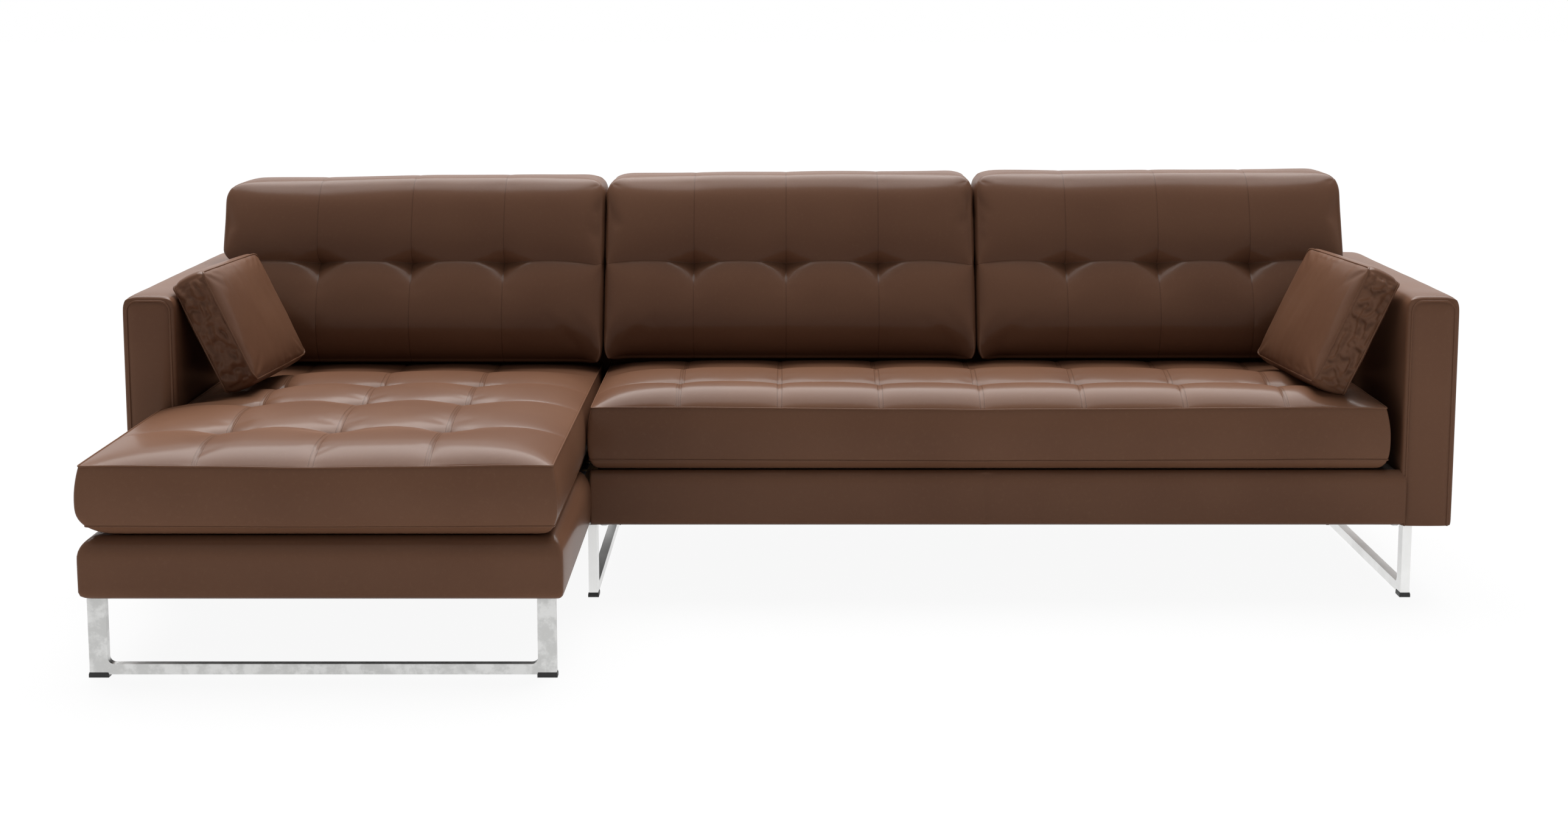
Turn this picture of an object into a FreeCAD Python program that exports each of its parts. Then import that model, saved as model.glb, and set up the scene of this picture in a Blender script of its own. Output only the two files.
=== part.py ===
import FreeCAD, Part
import math
import os
import re
import Sketcher

os.makedirs("parts", exist_ok=True)
doc = FreeCAD.newDocument("ChaiseSofa")
Vector = FreeCAD.Vector

# Driving sizes of the sofa, in millimetres and degrees.
# X runs to the sitter's right seen from the front, Y to the back, Z up from the floor.
SIZES = {
    "arm_width": 110,
    "arm_height": 645,
    "arm_depth": 945,
    "arm_round": 25,
    "chaise_bay": 861,
    "sofa_bay": 1709,
    "chaise_reach": 680,
    "chaise_step": 41,
    "base_height": 118,
    "chaise_roll_pad": 34,
    "chaise_roll_round": 32,
    "chaise_side_pad": 20,
    "chaise_side_round": 18,
    "sofa_roll_pad": 20,
    "sofa_roll_round": 18,
    "cover_pad": 10,
    "cover_round": 6,
    "module_gap": 1,
    "panel_thick": 12,
    "panel_set": 3,
    "panel_corner": 14,
    "panel_edge": 4,
    "back_height": 645,
    "back_depth": 270,
    "back_top": 150,
    "back_board": 6,
    "rail_thick": 25,
    "rail_height": 102,
    "seat_rail_thick": 45,
    "cross_rail_height": 70,
    "rib_pitch": 400,
    "strap_width": 60,
    "strap_thick": 2.5,
    "strap_pitch": 95,
    "strap_hold": 20,
    "cloth_thick": 1,
    "arm_rail_width": 90,
    "sled_height": 152,
    "sled_bar": 20,
    "sled_post": 35,
    "sled_thick": 20,
    "sled_bend": 12,
    "sled_edge": 1.5,
    "sled_set": 20,
    "sled_rear_set": 130,
    "arm_sled_inset": 21,
    "joint_sled_shift": 4,
    "front_sled_inset": 7,
    "glide_thick": 6,
    "plate_thick": 4,
    "plate_width": 70,
    "plate_length": 90,
    "slot_width": 9,
    "slot_length": 12,
    "screw_radius": 4,
    "screw_head_radius": 8,
    "screw_head": 5,
    "screw_length": 45,
    "screw_reach": 23.5,
    "screw_step": 24,
    "arm_screw_length": 60,
    "arm_screw_rise": 45,
    "hook_width": 60,
    "hook_height": 55,
    "hook_thick": 3,
    "hook_drop": 28,
    "hook_gap": 0.3,
    "hook_rise": 15,
    "seat_overhang": 4,
    "seat_side_gap": 2,
    "seat_edge": 133,
    "seat_crown": 33,
    "seat_front_round": 12,
    "seat_side_draw": 3,
    "seat_under_round": 14,
    "channel_rise": 7,
    "row_dip": 11,
    "cushion_shift": 6,
    "chaise_seam": 215,
    "chaise_first_seam": 223,
    "bench_seam": 213,
    "bench_first_seam": 191,
    "tuft_row_rear": 440,
    "tuft_row_front": 200,
    "chaise_row_middle": 45,
    "chaise_row_front": 370,
    "soft_gap": 0.5,
    "back_cushion_gap": 6,
    "back_cushion_rise": 410,
    "back_cushion_thick": 222,
    "back_cushion_top_thick": 165,
    "back_cushion_round": 45,
    "back_channel_rise": 12,
    "back_row_dip": 13,
    "back_tuft_height": 205,
    "back_seam": 213,
    "scatter_length": 420,
    "scatter_height": 264,
    "scatter_thick": 74,
    "scatter_bulge": 6,
    "scatter_crown": 12,
    "scatter_lean": 25.5,
    "left_scatter_yaw": 4.5,
    "right_scatter_yaw": 5.5,
    "left_scatter_gap": 60,
    "right_scatter_gap": 20,
}

sheet = doc.addObject("Spreadsheet::Sheet", "Sizes")
for row, (alias, size) in enumerate(SIZES.items(), start=1):
    sheet.set(f"A{row}", alias)
    sheet.set(f"B{row}", str(size))
    sheet.setAlias(f"B{row}", alias)
doc.recompute()


# Formulas name the sheet's cells by their aliases.
def cells(formula):
    return re.sub(r"\b[a-z]+(?:_[a-z]+)+\b", r"Sizes.\g<0>", formula)


def number(formula):
    return float(sheet.evalExpression(cells(formula)))


def bind(piece, prop, formula):
    piece.setExpression(prop, cells(formula))


# Places that several pieces share.
LEFT_OUT = "(-(2 * arm_width + chaise_bay + sofa_bay) / 2)"
LEFT_IN = f"({LEFT_OUT} + arm_width)"
JOINT = f"({LEFT_IN} + chaise_bay)"
RIGHT_IN = f"({JOINT} + sofa_bay)"
RIGHT_OUT = f"({RIGHT_IN} + arm_width)"
BACK = "((arm_depth + chaise_reach) / 2)"
ARM_FRONT = f"({BACK} - arm_depth)"
FRONT = f"({ARM_FRONT} - chaise_reach)"
BASE_FRONT = f"({FRONT} + seat_overhang)"
BASE = "(glide_thick + sled_height)"
RAIL_LOW = f"({BASE} + plate_thick + cloth_thick)"
RAIL_TOP = f"({RAIL_LOW} + rail_height)"
DECK = f"({BASE} + base_height)"
STEP_OUT = f"({LEFT_IN} - chaise_step)"
STEP_IN = f"({STEP_OUT} + chaise_side_pad)"
CHAISE_RIGHT = f"({JOINT} - module_gap / 2)"
CHAISE_RAIL_RIGHT = f"({CHAISE_RIGHT} - cover_pad)"
SOFA_LEFT = f"({JOINT} + module_gap / 2)"
SOFA_RAIL_LEFT = f"({SOFA_LEFT} + cover_pad)"
LEFT_FRAME_IN = f"({LEFT_IN} - cover_pad)"
RIGHT_FRAME_IN = f"({RIGHT_IN} + cover_pad)"
CHAISE_RAIL_FRONT = f"({BASE_FRONT} + chaise_roll_pad)"
SOFA_RAIL_FRONT = f"({ARM_FRONT} + sofa_roll_pad)"
FRAME_BACK = f"({BACK} - cover_pad)"
BACK_FOOT = f"({BACK} - back_depth)"
BACK_SLOPE = f"((back_depth - back_top) / (back_height - {DECK}))"
BACK_FACE = f"({BACK_FOOT} + cover_pad)"
CUSHION_JOINT = f"({JOINT} - cushion_shift)"
SEAT_TOP = f"({DECK} + seat_edge + seat_crown)"

nodes = []


def keep(piece, label):
    piece.Label = label
    nodes.append(piece)
    return piece


# Square-edged boards, straps and pads, given by a low and a high formula along each axis.
def board(label, x, y, z):
    piece = doc.addObject("Part::Box", label)
    for axis, side, (low, high) in zip("xyz", ("Length", "Width", "Height"), (x, y, z)):
        bind(piece, side, f"({high}) - ({low})")
        bind(piece, "Placement.Base." + axis, low)
    return piece


# Round and hexagonal bars along one axis from a starting point.
TURNS = {
    "x": FreeCAD.Rotation(Vector(0, 1, 0), 90),
    "-x": FreeCAD.Rotation(Vector(0, 1, 0), -90),
    "z": FreeCAD.Rotation(),
}


def rod(label, radius, length, start, axis, hexagonal=False):
    piece = doc.addObject("Part::Prism" if hexagonal else "Part::Cylinder", label)
    piece.Placement = FreeCAD.Placement(Vector(), TURNS[axis])
    bind(piece, "Circumradius" if hexagonal else "Radius", radius)
    bind(piece, "Height", length)
    for name, place in zip("xyz", start):
        bind(piece, "Placement.Base." + name, place)
    return piece


def group(label, pieces):
    bundle = doc.addObject("Part::Compound", label)
    bundle.Links = pieces
    return bundle


def cut_away(label, blank, tool):
    cut = doc.addObject("Part::Cut", label)
    cut.Base = blank
    cut.Tool = tool
    return keep(cut, label)


# Outlines of straight lines, each corner given by two formulas, extruded along an axis.
PLANES = {"x": "YZ_Plane", "y": "XZ_Plane", "z": "XY_Plane"}


def outline(body, name, axis, loops):
    sketch = body.newObject("Sketcher::SketchObject", name)
    plane = next(f for f in body.Origin.OriginFeatures if f.Role == PLANES[axis])
    sketch.AttachmentSupport = (plane, "")
    sketch.MapMode = "FlatFace"
    for loop in loops:
        first = sketch.GeometryCount
        corners = [Vector(number(across), number(along), 0) for across, along in loop]
        count = len(corners)
        for i in range(count):
            sketch.addGeometry(Part.LineSegment(corners[i], corners[(i + 1) % count]))
        for i in range(count):
            join = Sketcher.Constraint("Coincident", first + i, 2, first + (i + 1) % count, 1)
            sketch.addConstraint(join)
        for i, (formulas, corner) in enumerate(zip(loop, corners)):
            for kind, formula, size in zip(("DistanceX", "DistanceY"), formulas, corner):
                placed = Sketcher.Constraint(kind, -1, 1, first + i, 1, size)
                bind(sketch, f"Constraints[{sketch.addConstraint(placed)}]", formula)
    return sketch


def extruded(label, axis, start, length, *loops):
    body = doc.addObject("PartDesign::Body", label)
    pad = body.newObject("PartDesign::Pad", label + "_pad")
    pad.Profile = outline(body, label + "_outline", axis, loops)
    pad.Reversed = axis == "y"
    bind(pad, "Length", length)
    bind(body, "Placement.Base." + axis, start)
    body.Tip = pad
    doc.recompute()
    return body


# Rounds or bevels the edges of a body whose middles lie at the given places.
def soften(body, size, *places, kind="Fillet"):
    base = body.Tip
    chosen = []
    for i, edge in enumerate(base.Shape.Edges, start=1):
        middle = edge.CenterOfMass
        for place in places:
            if all(abs(getattr(middle, axis) - number(at)) < 0.05 for axis, at in place.items()):
                chosen.append(f"Edge{i}")
    rounding = body.newObject("PartDesign::" + kind, body.Name + "_edges")
    rounding.Base = (base, chosen)
    bind(rounding, {"Fillet": "Radius", "Chamfer": "Size"}[kind], size)
    body.Tip = rounding
    doc.recompute()
    return body


# Sled legs of flat rectangular tube: two posts and the bar between them, bent from one piece.
# Each post stands on a glide pad and carries a welded plate that is screwed to the timber above.
def sled(label, axis, low, high, middle):
    bar_top = "glide_thick + sled_bar"
    body = extruded(
        label, axis, f"{middle} - sled_thick / 2", "sled_thick",
        [
            (low, BASE), (low, "glide_thick"), (high, "glide_thick"), (high, BASE),
            (f"{high} - sled_post", BASE), (f"{high} - sled_post", bar_top),
            (f"{low} + sled_post", bar_top), (f"{low} + sled_post", BASE),
        ],
    )
    across = {"x": "y", "y": "x"}[axis]
    soften(
        body, "sled_bend",
        {across: f"{low} + sled_post", "z": bar_top},
        {across: f"{high} - sled_post", "z": bar_top},
    )
    soften(body, "sled_edge", {across: low}, {across: high})
    return keep(body, label)


SLED_LOW = f"({ARM_FRONT} + sled_set)"
SLED_HIGH = f"({BACK} - sled_rear_set)"
SLED_MIDDLES = {
    "left_sled": f"({LEFT_IN} - arm_sled_inset)",
    "center_sled": f"({JOINT} + joint_sled_shift)",
    "right_sled": f"({RIGHT_IN} + arm_sled_inset)",
}
FRONT_SLED_LOW = f"({STEP_OUT} + front_sled_inset)"
FRONT_SLED_HIGH = f"({CHAISE_RIGHT} - front_sled_inset - cover_pad)"
FRONT_SLED_MIDDLE = f"({CHAISE_RAIL_FRONT} + rail_thick / 2)"

for label, middle in SLED_MIDDLES.items():
    sled(label, "x", SLED_LOW, SLED_HIGH, middle)
sled("chaise_front_sled", "y", FRONT_SLED_LOW, FRONT_SLED_HIGH, FRONT_SLED_MIDDLE)

# Post footprints, as low and high formulas in X and Y.
POSTS = []
for middle in SLED_MIDDLES.values():
    beside = (f"{middle} - sled_thick / 2", f"{middle} + sled_thick / 2")
    POSTS.append((beside, (SLED_LOW, f"{SLED_LOW} + sled_post")))
    POSTS.append((beside, (f"{SLED_HIGH} - sled_post", SLED_HIGH)))
behind = (f"{FRONT_SLED_MIDDLE} - sled_thick / 2", f"{FRONT_SLED_MIDDLE} + sled_thick / 2")
POSTS.append(((FRONT_SLED_LOW, f"{FRONT_SLED_LOW} + sled_post"), behind))
POSTS.append(((f"{FRONT_SLED_HIGH} - sled_post", FRONT_SLED_HIGH), behind))
glides = [board(f"glide_{i}", x, y, ("0", "glide_thick")) for i, (x, y) in enumerate(POSTS)]
keep(group("glide_pads", glides), "glide_pads")


# Hexagonal-headed coach screws, driven into timber from a starting point.
def screw(label, start, length, axis):
    back = {"z": (0, 0, -1), "x": (-1, 0, 0), "-x": (1, 0, 0)}[axis]
    below = [f"{at} + ({step}) * screw_head" for at, step in zip(start, back)]
    whole = doc.addObject("Part::Fuse", label)
    whole.Base = rod(label + "_head", "screw_head_radius", "screw_head", below, axis, hexagonal=True)
    whole.Tool = rod(label + "_shank", "screw_radius", length, start, axis)
    return whole


# The sleds' screws pass up through slots in a plate and in the dust cloth above it.
SCREW_Y = (f"({SLED_LOW} + sled_post / 2)", f"({SLED_HIGH} - sled_post / 2)")
screw_places = []
for middle in SLED_MIDDLES.values():
    for y in SCREW_Y:
        screw_places += [(f"{middle} - screw_reach", y), (f"{middle} + screw_reach", y)]
for step in ("2 * screw_step / 3", "5 * screw_step / 3"):
    screw_places.append((f"{FRONT_SLED_LOW} + sled_post + {step}", FRONT_SLED_MIDDLE))
    screw_places.append((f"{FRONT_SLED_HIGH} - sled_post - {step}", FRONT_SLED_MIDDLE))
sled_screws = [
    screw(f"sled_screw_{i}", (x, y, BASE), "screw_length", "z") for i, (x, y) in enumerate(screw_places)
]
keep(group("sled_screws", sled_screws), "sled_screws")
slots = [
    board(
        f"slot_{i}", (f"{x} - slot_length / 2", f"{x} + slot_length / 2"),
        (f"{y} - slot_width / 2", f"{y} + slot_width / 2"), (BASE, RAIL_LOW),
    )
    for i, (x, y) in enumerate(screw_places)
]
all_slots = group("screw_slots", slots)

PLATE_Z = (BASE, f"{BASE} + plate_thick")
FRONT_PLATE_LOW = f"({STEP_IN} + hook_gap)"
FRONT_PLATE_HIGH = f"({CHAISE_RAIL_RIGHT} - hook_gap)"
plate_places = [
    (
        (f"{middle} - plate_width / 2", f"{middle} + plate_width / 2"),
        (f"{y} - sled_post / 2", f"{y} + sled_post / 2"),
    )
    for middle in SLED_MIDDLES.values() for y in SCREW_Y
]
plate_places.append(((FRONT_PLATE_LOW, f"{FRONT_PLATE_LOW} + plate_length"), behind))
plate_places.append(((f"{FRONT_PLATE_HIGH} - plate_length", FRONT_PLATE_HIGH), behind))
plates = [board(f"plate_{i}", x, y, PLATE_Z) for i, (x, y) in enumerate(plate_places)]
cut_away("mounting_plates", group("plate_blanks", plates), all_slots)

# The arms' screws run from inside the base through its side rail into the arm frame: one pair behind
# the frame's front upright, and one pair behind the seat rail.
SEAT_RAIL_Y = (f"{BACK_FOOT} - strap_hold", f"{BACK_FOOT} - strap_hold + seat_rail_thick")
ARM_SCREW_Y = (f"{ARM_FRONT} + panel_thick + arm_rail_width", f"{SEAT_RAIL_Y[1]} + screw_step")
arm_screws = []
for inside, axis in (
    (f"({LEFT_FRAME_IN} + rail_thick)", "-x"), (f"({RIGHT_FRAME_IN} - rail_thick)", "x"),
):
    for y in ARM_SCREW_Y:
        start = (inside, y, f"{RAIL_LOW} + arm_screw_rise")
        arm_screws.append(screw(f"arm_screw_{len(arm_screws)}", start, "arm_screw_length", axis))
keep(group("arm_screws", arm_screws), "arm_screws")


# Timber base rails of both modules.
CHAISE_SIDE_Y = (f"{CHAISE_RAIL_FRONT} + rail_thick", f"{FRAME_BACK} - rail_thick")
SOFA_SIDE_Y = (f"{SOFA_RAIL_FRONT} + rail_thick", f"{FRAME_BACK} - rail_thick")
REAR_Y = (f"{FRAME_BACK} - rail_thick", FRAME_BACK)


def rail(label, x, y):
    return keep(board(label, x, y, (RAIL_LOW, RAIL_TOP)), label)


rail(
    "chaise_front_rail", (STEP_IN, CHAISE_RAIL_RIGHT),
    (CHAISE_RAIL_FRONT, f"{CHAISE_RAIL_FRONT} + rail_thick"),
)
rail("chaise_left_rail", (LEFT_FRAME_IN, f"{LEFT_FRAME_IN} + rail_thick"), CHAISE_SIDE_Y)
rail("chaise_right_rail", (f"{CHAISE_RAIL_RIGHT} - rail_thick", CHAISE_RAIL_RIGHT), CHAISE_SIDE_Y)
rail("chaise_rear_rail", (LEFT_FRAME_IN, CHAISE_RAIL_RIGHT), REAR_Y)
rail(
    "chaise_packing_rail", (STEP_IN, LEFT_FRAME_IN),
    (f"{CHAISE_RAIL_FRONT} + rail_thick", f"{ARM_FRONT} - module_gap"),
)
CHAISE_INSIDE = (f"{LEFT_FRAME_IN} + rail_thick", f"{CHAISE_RAIL_RIGHT} - rail_thick")
rail("chaise_seat_rail", CHAISE_INSIDE, SEAT_RAIL_Y)
rail(
    "sofa_front_rail", (SOFA_RAIL_LEFT, RIGHT_FRAME_IN),
    (SOFA_RAIL_FRONT, f"{SOFA_RAIL_FRONT} + rail_thick"),
)
rail("sofa_left_rail", (SOFA_RAIL_LEFT, f"{SOFA_RAIL_LEFT} + rail_thick"), SOFA_SIDE_Y)
rail("sofa_right_rail", (f"{RIGHT_FRAME_IN} - rail_thick", RIGHT_FRAME_IN), SOFA_SIDE_Y)
rail("sofa_rear_rail", (SOFA_RAIL_LEFT, RIGHT_FRAME_IN), REAR_Y)
SOFA_INSIDE = (f"{SOFA_RAIL_LEFT} + rail_thick", f"{RIGHT_FRAME_IN} - rail_thick")
rail("sofa_seat_rail", SOFA_INSIDE, SEAT_RAIL_Y)

# Cross rails brace each base below the webbing.
CROSS_Z = (RAIL_LOW, f"{RAIL_LOW} + cross_rail_height")


def spaced(low, high, count):
    return [f"({low} + ({high} - ({low})) * {i + 1} / {count + 1})" for i in range(count)]


chaise_cross = [
    board(f"chaise_cross_{i}", CHAISE_INSIDE, (y, f"{y} + rail_thick"), CROSS_Z)
    for i, y in enumerate(spaced(CHAISE_SIDE_Y[0], SEAT_RAIL_Y[0], 2))
]
keep(group("chaise_cross_rails", chaise_cross), "chaise_cross_rails")
sofa_cross = [
    board(f"sofa_cross_{i}", (x, f"{x} + rail_thick"), (SOFA_SIDE_Y[0], SEAT_RAIL_Y[0]), CROSS_Z)
    for i, x in enumerate(spaced(SOFA_INSIDE[0], SOFA_INSIDE[1], 3))
]
keep(group("sofa_cross_rails", sofa_cross), "sofa_cross_rails")

# Elastic webbing: the chaise's straps run across it, the long bench's run front to back.
STRAP_Z = (RAIL_TOP, f"{RAIL_TOP} + strap_thick")


def straps(label, low, high, fixed):
    span = number(f"{high} - ({low})")
    count = int(span / number("strap_pitch"))
    made = []
    for i, middle in enumerate(spaced(low, high, count)):
        wide = (f"{middle} - strap_width / 2", f"{middle} + strap_width / 2")
        made.append(board(f"{label}_{i}", *fixed(wide), STRAP_Z))
    return keep(group(label, made), label)


straps(
    "chaise_webbing", CHAISE_RAIL_FRONT, BACK_FOOT,
    lambda wide: ((LEFT_FRAME_IN, CHAISE_RAIL_RIGHT), wide),
)
straps(
    "sofa_webbing", SOFA_RAIL_LEFT, RIGHT_FRAME_IN,
    lambda wide: (wide, (SOFA_RAIL_FRONT, BACK_FOOT)),
)

# Padded decks over the webbing, and dust cloths under the rails.
STEP_REAR = f"({ARM_FRONT} - module_gap)"
DECK_LOW = f"({RAIL_TOP} + strap_thick)"
keep(
    extruded(
        "chaise_deck", "z", DECK_LOW, f"{DECK} - {DECK_LOW}",
        [
            (STEP_IN, CHAISE_RAIL_FRONT), (CHAISE_RAIL_RIGHT, CHAISE_RAIL_FRONT),
            (CHAISE_RAIL_RIGHT, BACK_FOOT), (LEFT_FRAME_IN, BACK_FOOT),
            (LEFT_FRAME_IN, STEP_REAR), (STEP_IN, STEP_REAR),
        ],
    ),
    "chaise_deck",
)
keep(
    board("sofa_deck", (SOFA_RAIL_LEFT, RIGHT_FRAME_IN), (SOFA_RAIL_FRONT, BACK_FOOT), (DECK_LOW, DECK)),
    "sofa_deck",
)
PANEL_REAR = f"({ARM_FRONT} + panel_thick)"
CLOTH_LOW = f"({BASE} + plate_thick)"
cloth_outlines = {
    "chaise_dust_cloth": [
        (STEP_IN, CHAISE_RAIL_FRONT), (CHAISE_RAIL_RIGHT, CHAISE_RAIL_FRONT),
        (CHAISE_RAIL_RIGHT, FRAME_BACK), (f"{LEFT_OUT} + cover_pad", FRAME_BACK),
        (f"{LEFT_OUT} + cover_pad", PANEL_REAR), (LEFT_FRAME_IN, PANEL_REAR),
        (LEFT_FRAME_IN, STEP_REAR), (STEP_IN, STEP_REAR),
    ],
    "sofa_dust_cloth": [
        (SOFA_RAIL_LEFT, SOFA_RAIL_FRONT), (RIGHT_FRAME_IN, SOFA_RAIL_FRONT),
        (RIGHT_FRAME_IN, PANEL_REAR), (f"{RIGHT_OUT} - cover_pad", PANEL_REAR),
        (f"{RIGHT_OUT} - cover_pad", FRAME_BACK), (SOFA_RAIL_LEFT, FRAME_BACK),
    ],
}
for label, corners in cloth_outlines.items():
    cut_away(label, extruded(label + "_blank", "z", CLOTH_LOW, "cloth_thick", corners), all_slots)


# Padded leather covers of the bases: a soft roll along each front, and the chaise's two sides.
def roll(label, front, depth, x_low, x_high, radius):
    corners = [(front, BASE), (f"{front} + {depth}", BASE), (f"{front} + {depth}", DECK), (front, DECK)]
    body = extruded(label, "x", x_low, f"{x_high} - {x_low}", corners)
    soften(body, radius, {"y": front, "z": DECK})
    soften(body, "cover_round", {"y": front, "z": BASE})
    return keep(body, label)


roll("chaise_front_cover", BASE_FRONT, "chaise_roll_pad", STEP_OUT, CHAISE_RIGHT, "chaise_roll_round")
roll("sofa_front_cover", ARM_FRONT, "sofa_roll_pad", SOFA_LEFT, RIGHT_FRAME_IN, "sofa_roll_round")
for label, outer, inner, radius in (
    ("chaise_left_cover", STEP_OUT, STEP_IN, "chaise_side_round"),
    ("chaise_right_cover", CHAISE_RIGHT, CHAISE_RAIL_RIGHT, "cover_round"),
):
    side = extruded(
        label, "y", CHAISE_RAIL_FRONT, f"{STEP_REAR} - {CHAISE_RAIL_FRONT}",
        [(outer, BASE), (inner, BASE), (inner, DECK), (outer, DECK)],
    )
    soften(side, radius, {"x": outer, "z": DECK})
    soften(side, "cover_round", {"x": outer, "z": BASE})
    keep(side, label)


# Arms: a timber frame, a padded cover over its outside, top, inside and rear, and a set-in front panel.
def arm(side, outer, inner, sign):
    frame_out = f"({outer} + ({sign}) * cover_pad)"
    frame_in = f"({inner} - ({sign}) * cover_pad)"
    top = "(arm_height - cover_pad)"
    frame = extruded(
        f"{side}_arm_frame", "x", frame_out if sign > 0 else frame_in, "arm_width - 2 * cover_pad",
        [(PANEL_REAR, RAIL_LOW), (FRAME_BACK, RAIL_LOW), (FRAME_BACK, top), (PANEL_REAR, top)],
        *windows(PANEL_REAR, FRAME_BACK, RAIL_LOW, top),
    )
    keep(frame, f"{side}_arm_frame")

    cover = extruded(
        f"{side}_arm_cover", "y", f"{ARM_FRONT} + panel_set", "arm_depth - panel_set",
        [(outer, BASE), (inner, BASE), (inner, "arm_height"), (outer, "arm_height")],
    )
    soften(cover, "arm_round", {"x": outer, "z": "arm_height"}, {"x": inner, "z": "arm_height"})
    solid = cover.Shape.Volume
    hollow = cover.newObject("PartDesign::Pocket", f"{side}_arm_hollow")
    hollow.Profile = outline(
        cover, f"{side}_arm_hollow_outline", "y",
        [[(frame_out, BASE), (inner, BASE), (inner, DECK), (frame_in, DECK), (frame_in, top), (frame_out, top)]],
    )
    hollow.Reversed = False
    bind(hollow, "Length", "arm_depth - panel_set - cover_pad")
    doc.recompute()
    if cover.Shape.Volume >= solid:
        raise RuntimeError(f"the {side} arm cover was not hollowed")
    keep(cover, f"{side}_arm_cover")

    panel = extruded(
        f"{side}_arm_panel", "y", ARM_FRONT, "panel_thick",
        [(frame_out, BASE), (frame_in, BASE), (frame_in, top), (frame_out, top)],
    )
    soften(panel, "panel_corner", {"x": frame_out, "z": top}, {"x": frame_in, "z": top})
    soften(panel, "panel_edge", {"y": "0"}, kind="Chamfer")
    keep(panel, f"{side}_arm_panel")


# Openings that leave a ladder of members in a timber frame.
def windows(low, high, bottom, top):
    half = f"(({high} - ({low}) - 3 * arm_rail_width) / 2)"
    made = []
    for start in (f"({low} + arm_rail_width)", f"({low} + 2 * arm_rail_width + {half})"):
        end = f"({start} + {half})"
        floor = f"({bottom} + arm_rail_width)"
        ceiling = f"({top} - arm_rail_width)"
        made.append([(start, floor), (end, floor), (end, ceiling), (start, ceiling)])
    return made


arm("left", LEFT_OUT, LEFT_IN, 1)
arm("right", RIGHT_OUT, RIGHT_IN, -1)


# Backs: upright ribs on the base rails, a top rail and a face board, inside a padded leather cover.
def sloping(z, inset):
    return f"({BACK_FOOT} + {inset} + ({z} - ({DECK})) * {BACK_SLOPE})"


def back(module, low, high):
    top = "(back_height - cover_pad)"
    rib_top = f"({top} - rail_thick)"
    board_rear = "cover_pad + back_board"
    keep(
        extruded(
            f"{module}_back_cover", "x", low, f"{high} - {low}",
            [
                (BACK, BASE), (BACK, "back_height"), (f"{BACK} - back_top", "back_height"),
                (BACK_FOOT, DECK), (BACK_FACE, DECK), (sloping(top, "cover_pad"), top),
                (FRAME_BACK, top), (FRAME_BACK, BASE),
            ],
        ),
        f"{module}_back_cover",
    )
    soften(
        nodes[-1], "arm_round",
        {"y": BACK, "z": "back_height"}, {"y": f"{BACK} - back_top", "z": "back_height"},
    )
    keep(
        extruded(
            f"{module}_back_board", "x", low, f"{high} - {low}",
            [
                (BACK_FACE, DECK), (f"{BACK_FACE} + back_board", DECK),
                (sloping(rib_top, board_rear), rib_top), (sloping(rib_top, "cover_pad"), rib_top),
            ],
        ),
        f"{module}_back_board",
    )
    keep(
        board(f"{module}_back_rail", (low, high), (sloping(top, "cover_pad"), FRAME_BACK), (rib_top, top)),
        f"{module}_back_rail",
    )
    count = max(2, int(number(f"{high} - {low}") / number("rib_pitch")) + 1)
    ribs = []
    for i in range(count):
        start = f"({low} + ({high} - {low} - rail_thick) * {i} / {count - 1})"
        ribs.append(
            extruded(
                f"{module}_rib_{i}", "x", start, "rail_thick",
                [
                    (f"{BACK_FACE} + back_board", RAIL_TOP), (FRAME_BACK, RAIL_TOP),
                    (FRAME_BACK, rib_top), (sloping(rib_top, board_rear), rib_top),
                    (f"{BACK_FACE} + back_board", DECK),
                ],
            )
        )
    keep(group(f"{module}_back_ribs", ribs), f"{module}_back_ribs")


back("chaise", LEFT_IN, CHAISE_RIGHT)
back("sofa", SOFA_LEFT, RIGHT_IN)


# Connectors: steel hooks on the chaise's right rail drop over steel catches on the sofa's left rail.
HOOK_TOP = f"({RAIL_LOW} + hook_rise + hook_height)"
HOOK_REST = f"({HOOK_TOP} - hook_thick)"
HOOK_END = f"({CHAISE_RAIL_RIGHT} + 5 * hook_thick)"
CATCH_END = f"({SOFA_RAIL_LEFT} - 5 * hook_thick)"
CATCH_LOW = f"({HOOK_REST} - hook_gap - hook_drop)"
hook_outline = [
    (CHAISE_RAIL_RIGHT, f"{HOOK_TOP} - hook_height"),
    (f"{CHAISE_RAIL_RIGHT} + hook_thick", f"{HOOK_TOP} - hook_height"),
    (f"{CHAISE_RAIL_RIGHT} + hook_thick", HOOK_REST), (f"{HOOK_END} - hook_thick", HOOK_REST),
    (f"{HOOK_END} - hook_thick", f"{HOOK_REST} - hook_drop + hook_thick"),
    (HOOK_END, f"{HOOK_REST} - hook_drop + hook_thick"), (HOOK_END, HOOK_TOP), (CHAISE_RAIL_RIGHT, HOOK_TOP),
]
catch_outline = [
    (SOFA_RAIL_LEFT, f"{CATCH_LOW} + hook_height"),
    (f"{SOFA_RAIL_LEFT} - hook_thick", f"{CATCH_LOW} + hook_height"),
    (f"{SOFA_RAIL_LEFT} - hook_thick", f"{CATCH_LOW} + hook_thick"),
    (f"{CATCH_END} + hook_thick", f"{CATCH_LOW} + hook_thick"),
    (f"{CATCH_END} + hook_thick", f"{HOOK_REST} - hook_gap"), (CATCH_END, f"{HOOK_REST} - hook_gap"),
    (CATCH_END, CATCH_LOW), (SOFA_RAIL_LEFT, CATCH_LOW),
]
for label, corners in (("connector_hooks", hook_outline), ("connector_catches", catch_outline)):
    pair = [
        extruded(f"{label}_{i}", "y", f"{ARM_FRONT} + {share} * arm_depth", "hook_width", corners)
        for i, share in enumerate((0.15, 0.6))
    ]
    keep(group(label, pair), label)


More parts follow.
